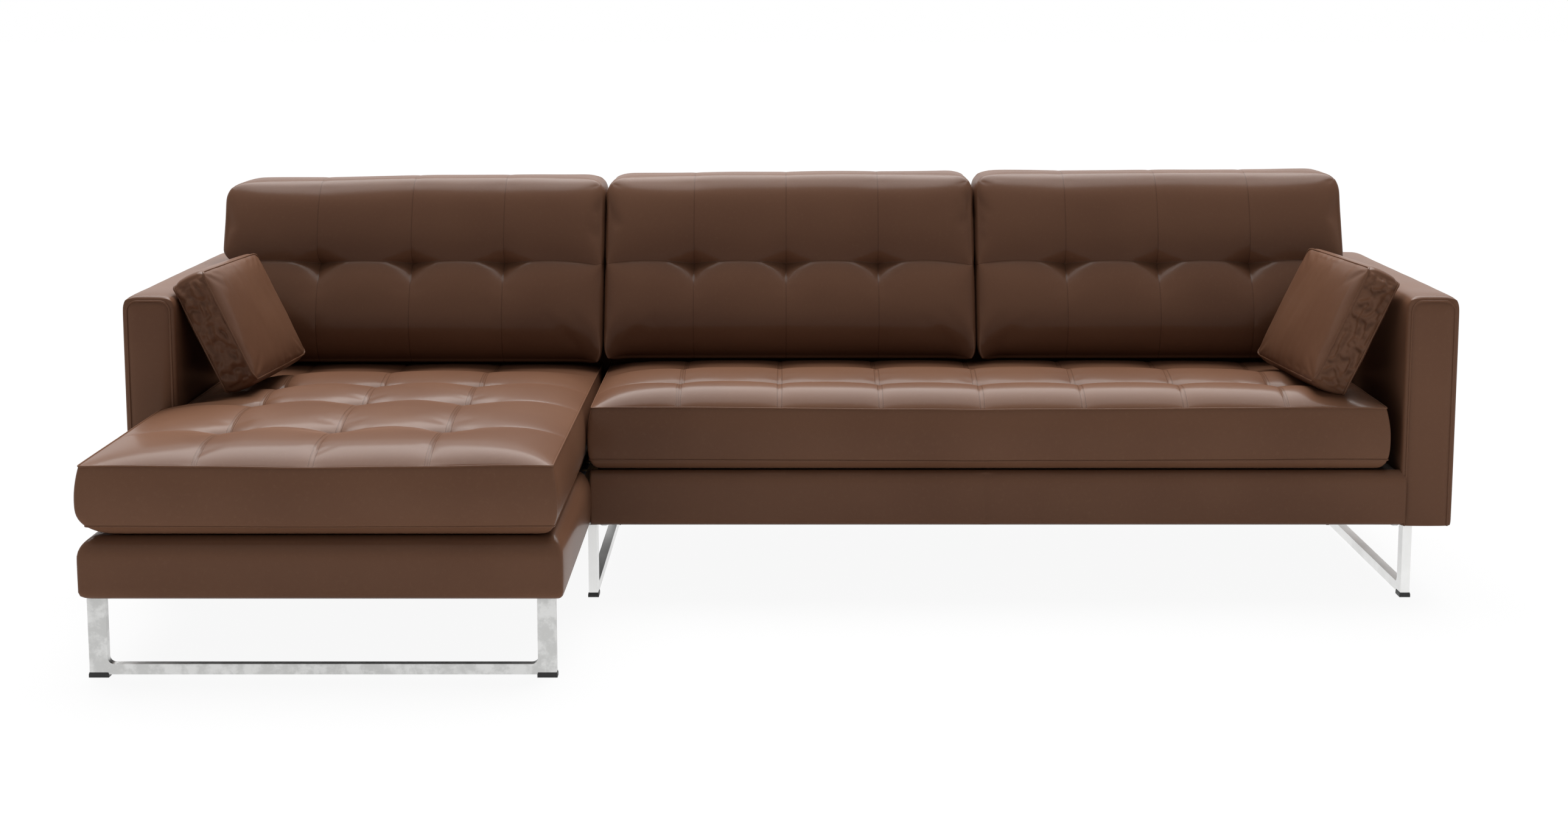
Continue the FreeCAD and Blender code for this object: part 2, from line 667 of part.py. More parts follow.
# Soft forms: lofts through slices made of straight lines and shallow arcs.
def wire(points):
    """A closed slice. Each entry is an end point, or a pair of a middle and an end point for an arc."""
    edges = []
    last = points[-1][-1] if isinstance(points[-1], tuple) else points[-1]
    for step in points:
        if isinstance(step, tuple):
            edges.append(Part.Arc(last, step[0], step[1]).toShape())
            last = step[1]
        else:
            edges.append(Part.LineSegment(last, step).toShape())
            last = step
    return Part.Wire(edges)


def soft(label, slices, placement=None):
    piece = doc.addObject("Part::Feature", label)
    piece.Shape = Part.makeLoft(slices, True, True)
    piece.Placement = placement or FreeCAD.Placement()
    return piece


CORNER_SHARE = 1 - math.sqrt(0.5)


def quilted_slice(y, left, right, low, edge, seams, valley, rise):
    """Across a seat cushion: flat below, sides drawn in at the seams, a crowned channel between seams."""
    under = number("seat_under_round")
    draw = number("seat_side_draw")
    half = (low + under + edge) / 2
    stations = [right - draw, *reversed(seams), left + draw]
    heights = [edge, *[valley] * len(seams), edge]

    def at(x, z):
        return Vector(x, y, z)

    points = [at(right - draw - under, low), at(right - draw, low + under), (at(right, half), at(right - draw, edge))]
    for i in range(len(stations) - 1):
        middle = (stations[i] + stations[i + 1]) / 2
        crest = (heights[i] + heights[i + 1]) / 2 + rise
        points.append((at(middle, crest), at(stations[i + 1], heights[i + 1])))
    points.append((at(left, half), at(left + draw, low + under)))
    points.append(at(left + draw + under, low))
    return wire(points)


def quilted(label, left, right, front, rear, seams, rows):
    """A seat cushion with sewn channels from front to back, pulled down at each row of tufts."""
    low = number(f"{DECK} + soft_gap")
    edge = number(f"{DECK} + seat_edge")
    crown = number("seat_crown - channel_rise")
    rise = number("channel_rise")
    inset = number("seat_front_round")
    slices = []

    def add(y, lift, shrink=0):
        side = edge - shrink / 2
        slices.append(
            quilted_slice(
                y, left + shrink / 3, right - shrink / 3, low + shrink / 2, side, seams, side + lift, rise,
            )
        )

    add(front, 0, inset)
    add(front + inset, crown / 6)
    stops = [front + inset, *rows, rear - inset]
    for i, row in enumerate(stops[1:], start=1):
        add((stops[i - 1] + row) / 2, crown)
        if row in rows:
            add(row, crown - number("row_dip"))
    add(rear - inset, crown / 2)
    add(rear, 0, inset)
    return soft(label, slices)


arm_front = number(ARM_FRONT)
seat_rear = number(f"{BACK_FOOT} - soft_gap")
joint = number(CUSHION_JOINT)
side_gap = number("seat_side_gap")
rows = [arm_front + number(name) for name in ("tuft_row_front", "tuft_row_rear")]
chaise_rows = [arm_front - number("chaise_row_front"), arm_front - number("chaise_row_middle"), *rows]
step_out = number(STEP_OUT)
chaise_seams = [step_out + number(f"chaise_first_seam + {i} * chaise_seam") for i in range(3)]
bench_right = number(f"{RIGHT_IN} - seat_side_gap")
bench_left = joint + side_gap
bench_count = int((bench_right - bench_left) / number("bench_seam")) - 1
bench_seams = [bench_left + number(f"bench_first_seam + {i} * bench_seam") for i in range(bench_count)]

chaise_blank = quilted(
    "chaise_cushion_blank", step_out, joint - side_gap, number(FRONT), seat_rear, chaise_seams, chaise_rows,
)
notch = board(
    "chaise_cushion_notch", (f"{STEP_OUT} - arm_width", f"{LEFT_IN} + seat_side_gap"),
    (f"{ARM_FRONT} - seat_side_gap", BACK), (f"{DECK} - seat_edge", f"{SEAT_TOP} + seat_edge"),
)
cut_away("chaise_seat_cushion", chaise_blank, notch)
keep(
    quilted(
        "bench_seat_cushion", bench_left, bench_right, arm_front - number("seat_overhang"), seat_rear,
        bench_seams, rows,
    ),
    "bench_seat_cushion",
)


# Back cushions stand on the seat and lean on the back: a slice runs up the front and down the rear.
def back_slice(x, pull, shrink):
    low = number(f"{SEAT_TOP} + soft_gap") + shrink
    high = number(f"{SEAT_TOP} + back_cushion_rise") - shrink
    bend = number("back_cushion_round")
    cut = CORNER_SHARE * bend
    bulge = number("back_channel_rise")
    slope = number(BACK_SLOPE)
    foot = number(f"{BACK_FOOT} - soft_gap") - shrink

    def rear(z):
        return foot + (z - number(DECK)) * slope

    front_low = rear(low) - number("back_cushion_thick") + 2 * shrink + pull
    front_high = rear(high) - number("back_cushion_top_thick") + 2 * shrink + pull
    rise = number("back_tuft_height")
    waist_y = front_low + (front_high - front_low) * rise / (high - low) + number("back_row_dip")

    def at(y, z):
        return Vector(x, y, z)

    knee = at(front_low, low + bend)
    waist = at(waist_y, low + rise)
    shoulder = at(front_high, high - bend)
    return wire([
        at(front_low + bend, low),
        (at(front_low + cut, low + cut), knee),
        ((knee + waist) / 2 - Vector(0, bulge, 0), waist),
        ((waist + shoulder) / 2 - Vector(0, bulge, 0), shoulder),
        (at(front_high + cut, high - cut), at(front_high + bend, high)),
        at(rear(high) - bend / 2, high),
        at(rear(high - bend / 2), high - bend / 2),
        at(rear(low), low),
    ])


def back_cushion(label, left, right):
    pull = number("back_channel_rise")
    step = number("back_seam")
    middle = (left + right) / 2
    seams = [middle - step, middle, middle + step]
    slices = [back_slice(left, pull, pull), back_slice(left + pull, pull / 2, 0)]
    edges = [left, *seams, right]
    for i, seam in enumerate(edges[1:], start=1):
        slices.append(back_slice((edges[i - 1] + seam) / 2, 0, 0))
        if seam in seams:
            slices.append(back_slice(seam, pull, 0))
    slices += [back_slice(right - pull, pull / 2, 0), back_slice(right, pull, pull)]
    return keep(soft(label, slices), label)


half_gap = number("back_cushion_gap / 2")
bench_middle = (joint + number(RIGHT_IN)) / 2
back_cushion("chaise_back_cushion", number(LEFT_IN) + side_gap, joint - half_gap)
back_cushion("middle_back_cushion", joint + half_gap, bench_middle - half_gap)
back_cushion("right_back_cushion", bench_middle + half_gap, number(RIGHT_IN) - side_gap)


# Scatter cushions stand on a lower edge and lean on the rounded inner top corners of the arms.
def scatter_slice(y, shrink, bulge, crown):
    wide = number("scatter_thick") - 2 * shrink
    tall = number("scatter_height") - 2 * shrink
    bend = number("scatter_bulge")

    def at(x, z):
        return Vector(x + shrink, y, z + shrink)

    return wire([
        (at(wide / 2, -bulge / 2), at(wide - bend, 0)),
        at(wide, bend),
        (at(wide + crown, tall / 2), at(wide, tall - bend)),
        at(wide - bend, tall),
        (at(wide / 2, tall + bulge / 2), at(bend, tall)),
        at(0, tall - bend),
        (at(-crown, tall / 2), at(0, bend)),
        at(bend, 0),
    ])


def settle(piece, direction, support, clearance):
    """Moves a cushion towards its support until only the clearance is left between them."""
    for _ in range(4):
        gap = piece.Shape.distToShape(support.Shape)[0] - number(clearance)
        place = piece.Placement
        place.Base = place.Base + direction * gap
        piece.Placement = place


def scatter_cushion(side, inner, sign, seat):
    length = number("scatter_length")
    bulge = number("scatter_bulge")
    slices = [
        scatter_slice(0, bulge, bulge / 2, bulge / 2),
        scatter_slice(2 * bulge, 0, bulge, bulge),
        scatter_slice(length / 2, 0, bulge, number("scatter_crown")),
        scatter_slice(length - 2 * bulge, 0, bulge, bulge),
        scatter_slice(length, bulge, bulge / 2, bulge / 2),
    ]
    piece = soft(f"{side}_scatter_cushion", slices)
    middle = number("scatter_thick") / 2
    piece.Shape = piece.Shape.translated(Vector(-middle, 0, 0))
    turn = FreeCAD.Rotation(Vector(0, 0, 1), -sign * number(f"{side}_scatter_yaw"))
    tilt = FreeCAD.Rotation(Vector(0, 1, 0), -sign * number("scatter_lean"))
    away = number(inner) + sign * number("scatter_height")
    front = number(f"{BACK_FOOT} + ({SEAT_TOP} - {DECK}) * {BACK_SLOPE} - back_cushion_thick")
    start = Vector(away, front - length - number(f"{side}_scatter_gap"), number(f"{SEAT_TOP} + scatter_thick"))
    piece.Placement = FreeCAD.Placement(start, turn.multiply(tilt))
    for _ in range(2):
        settle(piece, Vector(0, 0, -1), seat, "soft_gap")
        settle(piece, Vector(-sign, 0, 0), doc.getObject(f"{side}_arm_cover"), "4 * soft_gap")
    settle(piece, Vector(0, 0, -1), seat, "soft_gap")
    return keep(piece, f"{side}_scatter_cushion")


doc.recompute()
scatter_cushion("left", LEFT_IN, 1, doc.getObject("chaise_seat_cushion"))
scatter_cushion("right", RIGHT_IN, -1, doc.getObject("bench_seat_cushion"))

# Every object must have been made without an error before anything is written.
doc.recompute()
for piece in doc.Objects:
    if "Invalid" in piece.State or "Error" in piece.State:
        raise RuntimeError(f"{piece.Label} could not be made: {piece.State}")
for piece in nodes:
    if piece.Shape.isNull() or not piece.Shape.isValid():
        raise RuntimeError(f"{piece.Label} has no valid shape")
for piece in nodes:
    piece.Shape.exportStep(f"parts/{piece.Label}.step")
print(len(nodes), "sub-parts written")
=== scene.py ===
import math

import bmesh
import bpy
import numpy as np
from mathutils import Euler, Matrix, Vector, noise


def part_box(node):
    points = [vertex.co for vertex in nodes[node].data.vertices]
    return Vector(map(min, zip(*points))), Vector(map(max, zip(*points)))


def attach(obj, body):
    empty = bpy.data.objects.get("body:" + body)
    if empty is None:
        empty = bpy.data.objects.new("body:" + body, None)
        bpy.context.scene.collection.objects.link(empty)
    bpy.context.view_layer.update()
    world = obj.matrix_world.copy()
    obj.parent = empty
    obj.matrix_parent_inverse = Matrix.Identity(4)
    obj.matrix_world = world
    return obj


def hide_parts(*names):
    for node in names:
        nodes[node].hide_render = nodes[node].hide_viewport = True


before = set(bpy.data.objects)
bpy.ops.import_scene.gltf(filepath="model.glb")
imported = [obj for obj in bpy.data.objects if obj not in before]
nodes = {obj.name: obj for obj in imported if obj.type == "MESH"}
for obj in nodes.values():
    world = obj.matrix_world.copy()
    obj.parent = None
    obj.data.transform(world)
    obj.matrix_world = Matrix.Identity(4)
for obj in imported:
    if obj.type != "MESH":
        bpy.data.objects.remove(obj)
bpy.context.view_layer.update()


# ---- The chaise's base cover ----
# Leather glued over thin wadding, wrapped round the front and both sides of the chaise's timber
# base. It rolls over the top edge, turns under at the foot, and is stapled to the rails inside.


def places(low, high, step, stops=(), near=(0.004, 0.010, 0.018, 0.028)):
    """Where a padded block is divided between two ends: close together at the ends and at each stop."""
    marks = sorted([low, high, *[low + n for n in near], *[high - n for n in near], *stops])
    filled = []
    for start, end in zip(marks, marks[1:]):
        count = max(1, round((end - start) / step))
        filled += [start + (end - start) * i / count for i in range(count)]
    return np.array(filled + [high])


def points(mesh):
    """A mesh's points, one row each."""
    co = np.empty(len(mesh.vertices) * 3)
    mesh.vertices.foreach_get("co", co)
    return co.reshape(-1, 3)


def put(mesh, co):
    """Moves a mesh's points to the given places."""
    mesh.vertices.foreach_set("co", np.ascontiguousarray(co, dtype=np.float32).ravel())
    mesh.update()


def block(name, xs, ys, zs):
    """A closed block divided at the given places along each axis. Also gives each point's step along them."""
    shape = bmesh.new()
    bmesh.ops.create_cube(shape, size=1)
    for axis, marks in enumerate((xs, ys, zs)):
        if len(marks) > 2:
            along = [e for e in shape.edges if abs(e.verts[0].co[axis] - e.verts[1].co[axis]) > 0.9]
            bmesh.ops.subdivide_edges(shape, edges=along, cuts=len(marks) - 2, use_grid_fill=True)
    mesh = bpy.data.meshes.new(name)
    shape.to_mesh(mesh)
    shape.free()
    counts = np.array([len(xs), len(ys), len(zs)]) - 1
    steps = np.rint((points(mesh) + 0.5) * counts).astype(int)
    put(mesh, np.stack([marks[steps[:, axis]] for axis, marks in enumerate((xs, ys, zs))], axis=1))
    mesh.polygons.foreach_set("use_smooth", [True] * len(mesh.polygons))
    piece = bpy.data.objects.new(name, mesh)
    bpy.context.scene.collection.objects.link(piece)
    return piece, steps


def pillow(co, low, high, reach_low, reach_high, corner):
    """Rounds a block. The reaches say how far in from each side its rounding starts, and 0 leaves a
    square edge. Corner is 2 for round upright edges and more for sharper ones."""
    reach_low, reach_high = np.array(reach_low), np.array(reach_high)
    core = np.clip(co, np.array(low) + reach_low, np.array(high) - reach_high)
    out = co - core
    reach = np.where(out < 0, reach_low, reach_high)
    unit = out / np.maximum(reach, 1e-9)
    size = np.abs(unit)
    level = size[:, :2].max(axis=1)
    across = (size[:, 0] ** corner + size[:, 1] ** corner) ** (1 / corner)
    unit[:, :2] *= (level / np.maximum(across, 1e-9))[:, None]
    upright = np.hypot(level, size[:, 2])
    unit *= (np.maximum(level, size[:, 2]) / np.maximum(upright, 1e-9))[:, None]
    return core + unit * reach


def round_off(co, axes, low, high, radius):
    """Rounds a block's edges in one plane. A limit of None leaves the edges on that side square."""
    core = co[:, axes].copy()
    for i in range(2):
        if low[i] is not None:
            core[:, i] = np.maximum(core[:, i], low[i] + radius)
        if high[i] is not None:
            core[:, i] = np.minimum(core[:, i], high[i] - radius)
    out = co[:, axes] - core
    length = np.linalg.norm(out, axis=1)
    reach = np.abs(out).max(axis=1)
    out *= (reach / np.maximum(length, 1e-9))[:, None]
    co[:, axes] = core + out
    return co


def rough(co, scale, seed):
    """Smooth noise from -1 to 1 at each point."""
    shift = Vector((seed * 7.3, seed * 3.1, seed * 5.7))
    return np.array([noise.noise(Vector(p) * scale + shift) for p in co])


class Value:
    """A number or colour inside a finish. Sums on numbers add Math nodes."""

    def __init__(self, finish, socket):
        self.finish = finish
        self.socket = socket

    def math(self, operation, first, second=0.0):
        """Adds a Math node."""
        return self.finish.node("Math", {"operation": operation}, {0: first, 1: second})

    def __add__(self, other):
        return self.math("ADD", self, other)

    __radd__ = __add__

    def __sub__(self, other):
        return self.math("SUBTRACT", self, other)

    def __rsub__(self, other):
        return self.math("SUBTRACT", other, self)

    def __mul__(self, other):
        return self.math("MULTIPLY", self, other)

    __rmul__ = __mul__

    def __gt__(self, other):
        return self.math("GREATER_THAN", self, other)

    def __lt__(self, other):
        return self.math("LESS_THAN", self, other)

    def __abs__(self):
        return self.math("ABSOLUTE", self)

    def most(self, other):
        return self.math("MAXIMUM", self, other)

    def wrap(self, low, high):
        return self.finish.node("Math", {"operation": "WRAP"}, {0: self, 1: high, 2: low})

    def fade(self, start, end):
        """1 at start and below, 0 at end and above, smooth between."""
        return self.finish.node(
            "MapRange", {"interpolation_type": "SMOOTHSTEP"},
            {"Value": self, "From Min": start, "From Max": end, "To Min": 1.0, "To Max": 0.0},
        )


class Finish:
    """A material of a principled shader, and the nodes that feed it."""

    def __init__(self, name, **constants):
        self.material = bpy.data.materials.new(name)
        self.material.use_nodes = True
        self.tree = self.material.node_tree
        self.shader = self.tree.nodes["Principled BSDF"]
        for socket, value in constants.items():
            self.feed(self.shader.inputs[socket.replace("_", " ")], value)

    def feed(self, socket, value):
        """Links a value to a socket, or sets a number or colour on it."""
        if isinstance(value, Value):
            self.tree.links.new(value.socket, socket)
        else:
            socket.default_value = value

    def node(self, kind, settings=None, sockets=None, out=0):
        """Adds a node with its settings and the values or links of its sockets, and gives one output."""
        made = self.tree.nodes.new("ShaderNode" + kind)
        for name, value in (settings or {}).items():
            setattr(made, name, value)
        for name, value in (sockets or {}).items():
            self.feed(made.inputs[name], value)
        return Value(self, made.outputs[out])

    def mix(self, share, first, second):
        """The first colour at a share of 0, the second at 1."""
        return self.node(
            "Mix", {"data_type": "RGBA", "clamp_factor": True},
            {0: share, 6: first if isinstance(first, Value) else (*first, 1.0),
             7: second if isinstance(second, Value) else (*second, 1.0)}, out=2,
        )

    def object_place(self):
        return self.node("TexCoord", out=3)

    def attribute(self, name):
        return self.node("Attribute", {"attribute_name": name}, out=1)

    def speckle(self, place, scale, detail=2.0, roughness=0.5):
        return self.node(
            "TexNoise", None,
            {"Vector": place, "Scale": scale, "Detail": detail, "Roughness": roughness},
        )

    def bump(self, height, distance, strength=1.0, normal=None):
        sockets = {"Height": height, "Distance": distance, "Strength": strength}
        if normal is not None:
            sockets["Normal"] = normal
        return self.node("Bump", None, sockets)

    def set(self, socket, value):
        self.feed(self.shader.inputs[socket], value)


def split(finish, place):
    """The three parts of a place, each as a value."""
    sides = finish.node("SeparateXYZ", None, {0: place})
    made = sides.socket.node
    return [Value(finish, made.outputs[i]) for i in range(3)]


LEATHER = (0.148, 0.072, 0.042)
LEATHER_DEEP = (0.126, 0.059, 0.034)
LEATHER_WORN = (0.180, 0.093, 0.056)
SEAM_SHADE = (0.040, 0.017, 0.009)
THREAD = (0.20, 0.10, 0.06)


def leather(name, place=None, lines=None):
    """Semi-gloss leather with a fine pebbled grain. Lines, where given, gives the seams and their thread."""
    hide = Finish(name, Specular_IOR_Level=0.02, Coat_Roughness=0.20, Coat_IOR=1.4)
    where = place(hide) if place else hide.object_place()
    tone = hide.speckle(where, 3.0, 2.0)
    mottle = hide.speckle(where, 120.0, 3.0, 0.6)
    pores = hide.node("TexVoronoi", {"feature": "DISTANCE_TO_EDGE"}, {"Vector": where, "Scale": 560.0})
    creases = hide.speckle(where, 300.0, 4.0, 0.65)
    base = hide.mix(tone.fade(0.70, 0.30), LEATHER, LEATHER_DEEP)
    base = hide.mix(mottle.fade(0.80, 0.50) * 0.25, base, LEATHER_WORN)
    base = hide.mix(pores.fade(0.0, 0.12) * 0.30, base, LEATHER_DEEP)
    grain = pores.fade(0.16, 0.0) * 0.5 + creases * 0.7
    surface = hide.bump(grain, 0.00016, 0.45)
    if lines:
        sewn, thread = lines(hide, where)
        base = hide.mix(sewn * 0.30, base, SEAM_SHADE)
        base = hide.mix(thread * 0.5, base, THREAD)
        surface = hide.bump(1.0 - sewn + thread * 0.5, 0.0009, 0.6, surface)
    hide.set("Base Color", base)
    hide.set("Roughness", 0.37 + mottle * 0.06 + pores.fade(0.0, 0.1) * 0.04)
    hide.set("Coat Weight", 0.17 + tone * 0.06)
    hide.set("Normal", surface)
    return hide.material


plain_leather = leather("plain_leather")


def dress(piece, material):
    """Gives a piece one material."""
    piece.data.materials.clear()
    piece.data.materials.append(material)


def smooth(piece):
    """Finishes a piece with one level of subdivision."""
    finer = piece.modifiers.new("Finer", "SUBSURF")
    finer.levels = 1
    finer.render_levels = 1


chaise_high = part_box("chaise_left_cover")[1]
front_low, front_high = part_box("chaise_front_cover")
HANG = 0.005
ROLL = 0.044
SIDE_ROLL = 0.024
SWELL = 0.0035
INSIDE = 0.045
HIDE = 0.0025
wrap_low = np.array([front_low[0], front_low[1], front_low[2] - HANG])
wrap_high = np.array([front_high[0], chaise_high[1], front_high[2]])
wrap, wrap_steps = block(
    "chaise_base_cover",
    places(wrap_low[0], wrap_high[0], 0.016),
    places(wrap_low[1], wrap_high[1], 0.016),
    places(wrap_low[2], wrap_high[2], 0.010),
)
co = points(wrap.data)
flat = co.copy()
co = pillow(co, wrap_low, wrap_high, (ROLL, ROLL, 0.016), (SIDE_ROLL, 0, 0.042), 12)
height = np.sin(np.pi * (flat[:, 2] - wrap_low[2]) / (wrap_high[2] - wrap_low[2]))
from_ends = np.minimum(flat[:, 0] - wrap_low[0], wrap_high[0] - flat[:, 0])
out = (wrap_steps[:, 1] == 0) * (1 - np.exp(-from_ends / 0.04))
co[:, 1] -= out * (SWELL * height + 0.0008 * rough(flat, 9.0, 1))
past_corner = 1 - np.exp(-(flat[:, 1] - wrap_low[1]) / 0.03)
for on_side, sign in ((wrap_steps[:, 0] == 0, -1), (wrap_steps[:, 0] == wrap_steps[:, 0].max(), 1)):
    co[:, 0] += sign * on_side * past_corner * SWELL * height
put(wrap.data, co)
shell = bmesh.new()
shell.from_mesh(wrap.data)
# The wrap is open at the rear, over the deck and underneath, so those faces go.
inner = [
    f for f in shell.faces
    if f.calc_center_median().y > wrap_high[1] - 0.001
    or (
        abs(f.normal.z) > 0.9
        and wrap_low[0] + INSIDE < f.calc_center_median().x < wrap_high[0] - INSIDE
        and f.calc_center_median().y > wrap_low[1] + INSIDE
    )
]
bmesh.ops.delete(shell, geom=inner, context="FACES")
shell.to_mesh(wrap.data)
shell.free()
wall = wrap.modifiers.new("Hide", "SOLIDIFY")
wall.thickness = HIDE
wall.offset = -1
dress(wrap, plain_leather)
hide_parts("chaise_front_cover", "chaise_left_cover", "chaise_right_cover")
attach(wrap, "frame")


# ---- The two-seat module's front base cover ----
# One long roll of leather over wadding on the front rail, joined by a plain seam near its middle.

bench_low, bench_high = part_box("sofa_front_cover")
JOIN = 0.410
JOIN_SUNK = 0.0025
RAIL_FULL = 0.002
rail, rail_steps = block(
    "sofa_base_cover",
    places(bench_low[0], bench_high[0], 0.016, [JOIN + gap for gap in (-0.012, -0.004, 0, 0.004, 0.012)]),
    places(bench_low[1], bench_high[1], 0.004, near=()),
    places(bench_low[2], bench_high[2], 0.010),
)
co = points(rail.data)
flat = co.copy()
co = pillow(co, bench_low, bench_high, (0, 0.019, 0.012), (0, 0, 0.026), 2)
height = (flat[:, 2] - bench_low[2]) / (bench_high[2] - bench_low[2])
on_front = (rail_steps[:, 1] == 0) * 1.0
co[:, 1] -= on_front * RAIL_FULL * np.sin(np.pi * height)
co[:, 1] += on_front * JOIN_SUNK * np.exp(-(((flat[:, 0] - JOIN) / 0.005) ** 2))
co[:, 1] += on_front * 0.0006 * rough(flat, 12.0, 2)
put(rail.data, co)
dress(rail, plain_leather)
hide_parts("sofa_front_cover")
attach(rail, "frame")


# ---- Arms ----
# A timber frame padded with foam. One leather cover wraps the outside, top and inside, and a
# padded panel is set into its front inside a welted seam.


def welt(name, path, radius, body, closed=False):
    """A thin corded seam: a tube of leather along the given points."""
    curve = bpy.data.curves.new(name, "CURVE")
    curve.dimensions = "3D"
    curve.bevel_depth = radius
    curve.bevel_resolution = 2
    line = curve.splines.new("POLY")
    line.points.add(len(path) - 1)
    for point, place in zip(line.points, path):
        point.co = (*place, 1.0)
    line.use_cyclic_u = closed
    curve.use_fill_caps = True
    cord = bpy.data.objects.new(name + "_line", curve)
    bpy.context.scene.collection.objects.link(cord)
    bpy.context.view_layer.update()
    mesh = bpy.data.meshes.new_from_object(cord.evaluated_get(bpy.context.evaluated_depsgraph_get()))
    mesh.name = name
    bpy.data.objects.remove(cord)
    bpy.data.curves.remove(curve)
    mesh.polygons.foreach_set("use_smooth", [True] * len(mesh.polygons))
    piece = bpy.data.objects.new(name, mesh)
    bpy.context.scene.collection.objects.link(piece)
    dress(piece, plain_leather)
    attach(piece, body)


ARM_ROUND = 0.026
FRONT_ROUND = 0.012
CORNER_ROUND = 0.009
FOOT_ROUND = 0.006
ARM_FULL = 0.005
TOP_FULL = 0.003
PANEL_ROUND = 0.022
PANEL_RIM = 0.0050
PANEL_FULL = 0.0030
WELT = 0.0022
WELT_SUNK = 0.0035
for side, sign in (("left", -1), ("right", 1)):
    low, high = (np.array(corner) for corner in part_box(f"{side}_arm_cover"))
    cover, steps = block(
        f"{side}_arm_padding",
        places(low[0], high[0], 0.010),
        places(low[1], high[1], 0.018),
        places(low[2], high[2], 0.018),
    )
    co = points(cover.data)
    flat = co.copy()
    co = round_off(co, [0, 2], (low[0], None), (high[0], high[2]), ARM_ROUND)
    co = round_off(co, [1, 2], (low[1], None), (high[1], high[2]), FRONT_ROUND)
    co = round_off(co, [0, 1], (low[0], low[1]), (high[0], high[1]), CORNER_ROUND)
    co = round_off(co, [0, 2], (low[0], low[2]), (high[0], None), FOOT_ROUND)
    deep = np.clip((flat[:, 1] - low[1]) / 0.05, 0, 1) * np.clip((high[1] - flat[:, 1]) / 0.05, 0, 1)
    tall = np.sin(np.pi * np.clip((flat[:, 2] - low[2]) / (high[2] - low[2]), 0, 1)) ** 0.5
    on_outside = (steps[:, 0] == (0 if sign < 0 else steps[:, 0].max())) * 1.0
    co[:, 0] += sign * on_outside * (ARM_FULL * tall * deep + 0.0012 * rough(flat, 6.0, 3) * deep)
    on_top = (steps[:, 2] == steps[:, 2].max()) * 1.0
    wide = np.sin(np.pi * (flat[:, 0] - low[0]) / (high[0] - low[0]))
    co[:, 2] += on_top * (TOP_FULL * wide * deep + 0.0010 * rough(flat, 9.0, 4))
    put(cover.data, co)
    dress(cover, plain_leather)
    smooth(cover)
    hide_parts(f"{side}_arm_cover")
    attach(cover, "frame")

    low, high = (np.array(corner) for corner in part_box(f"{side}_arm_panel"))
    panel, steps = block(
        f"{side}_arm_front_padding",
        places(low[0], high[0], 0.008),
        places(low[1], high[1], 0.004, near=()),
        places(low[2], high[2], 0.012),
    )
    co = points(panel.data)
    flat = co.copy()
    co = round_off(co, [0, 2], (low[0], None), (high[0], high[2]), PANEL_ROUND)
    inset = np.minimum(np.minimum(flat[:, 0] - low[0], high[0] - flat[:, 0]), high[2] - flat[:, 2])
    on_front = (steps[:, 1] == 0) * 1.0
    sunk_rim = PANEL_RIM * np.exp(-inset / 0.006)
    co[:, 1] += on_front * (sunk_rim - PANEL_FULL * (1 - np.exp(-inset / 0.03)))
    co[:, 1] += on_front * 0.0006 * rough(flat, 10.0, 5)
    put(panel.data, co)
    dress(panel, plain_leather)
    smooth(panel)
    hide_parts(f"{side}_arm_panel")
    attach(panel, "frame")

    bend = [math.pi / 2 * i / 8 for i in range(9)]
    left = [
        (low[0] + PANEL_ROUND * (1 - math.cos(turn)), high[2] - PANEL_ROUND * (1 - math.sin(turn)))
        for turn in bend
    ]
    right = [(low[0] + high[0] - x, z) for x, z in reversed(left)]
    rise = [(low[0], low[2] + (high[2] - PANEL_ROUND - low[2]) * i / 12) for i in range(12)]
    drop = [(high[0], z) for x, z in reversed(rise)]
    path = [(x, low[1] + WELT_SUNK, z) for x, z in [*rise, *left, *right, *drop]]
    welt(f"{side}_arm_welt", path, WELT, "frame")


# ---- Backs ----
# A timber ladder frame with a sloping face, padded and covered in the same leather. The outer
# back is one flat panel with a turned edge at the top.

TOP_DEPTH = 0.150
UNDER_DEPTH = 0.012
for module in ("chaise", "sofa"):
    low, high = (np.array(corner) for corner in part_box(f"{module}_back_cover"))
    _, foot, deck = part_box(f"{module}_deck")[1]
    top_front = high[1] - TOP_DEPTH
    back, steps = block(
        f"{module}_back_padding",
        places(low[0], high[0], 0.020),
        places(low[1], high[1], 0.016),
        places(low[2], high[2], 0.016, [deck - 0.001, deck]),
    )
    co = points(back.data)
    flat = co.copy()
    share = (flat[:, 1] - low[1]) / (high[1] - low[1])
    front = foot + (top_front - foot) * np.clip((flat[:, 2] - deck) / (high[2] - deck), 0, 1)
    front = np.where(flat[:, 2] < deck - 0.0005, high[1] - UNDER_DEPTH, front)
    co[:, 1] = front + (high[1] - front) * share
    upper = co[:, 2] > high[2] - ARM_ROUND - 0.001
    turned = round_off(co.copy(), [1, 2], (top_front - 0.006, None), (high[1], high[2]), ARM_ROUND)
    co[upper] = turned[upper]
    on_rear = (steps[:, 1] == steps[:, 1].max()) * 1.0
    co[:, 1] += on_rear * 0.0012 * rough(flat, 4.0, 6)
    put(back.data, co)
    dress(back, plain_leather)
    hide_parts(f"{module}_back_cover")
    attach(back, "frame")


# ---- Seat cushions ----
# Foam and fibre in a leather cover: a crowned top sewn in channels and pulled down at each tuft,
# a plain band between two welted seams, and a flat underside that lies on the deck.

# Each cover waits here until all are filled together: its object, its points' steps and places, the
# points that are held, how far each may move, and its material, CAD node and body.
loose = []


def keep_rest(piece, co):
    """Keeps where each point of a cover lay before it was filled, for its grain and stitching."""
    rest = piece.data.attributes.new("rest", "FLOAT_VECTOR", "POINT")
    rest.data.foreach_set("vector", np.ascontiguousarray(co, dtype=np.float32).ravel())


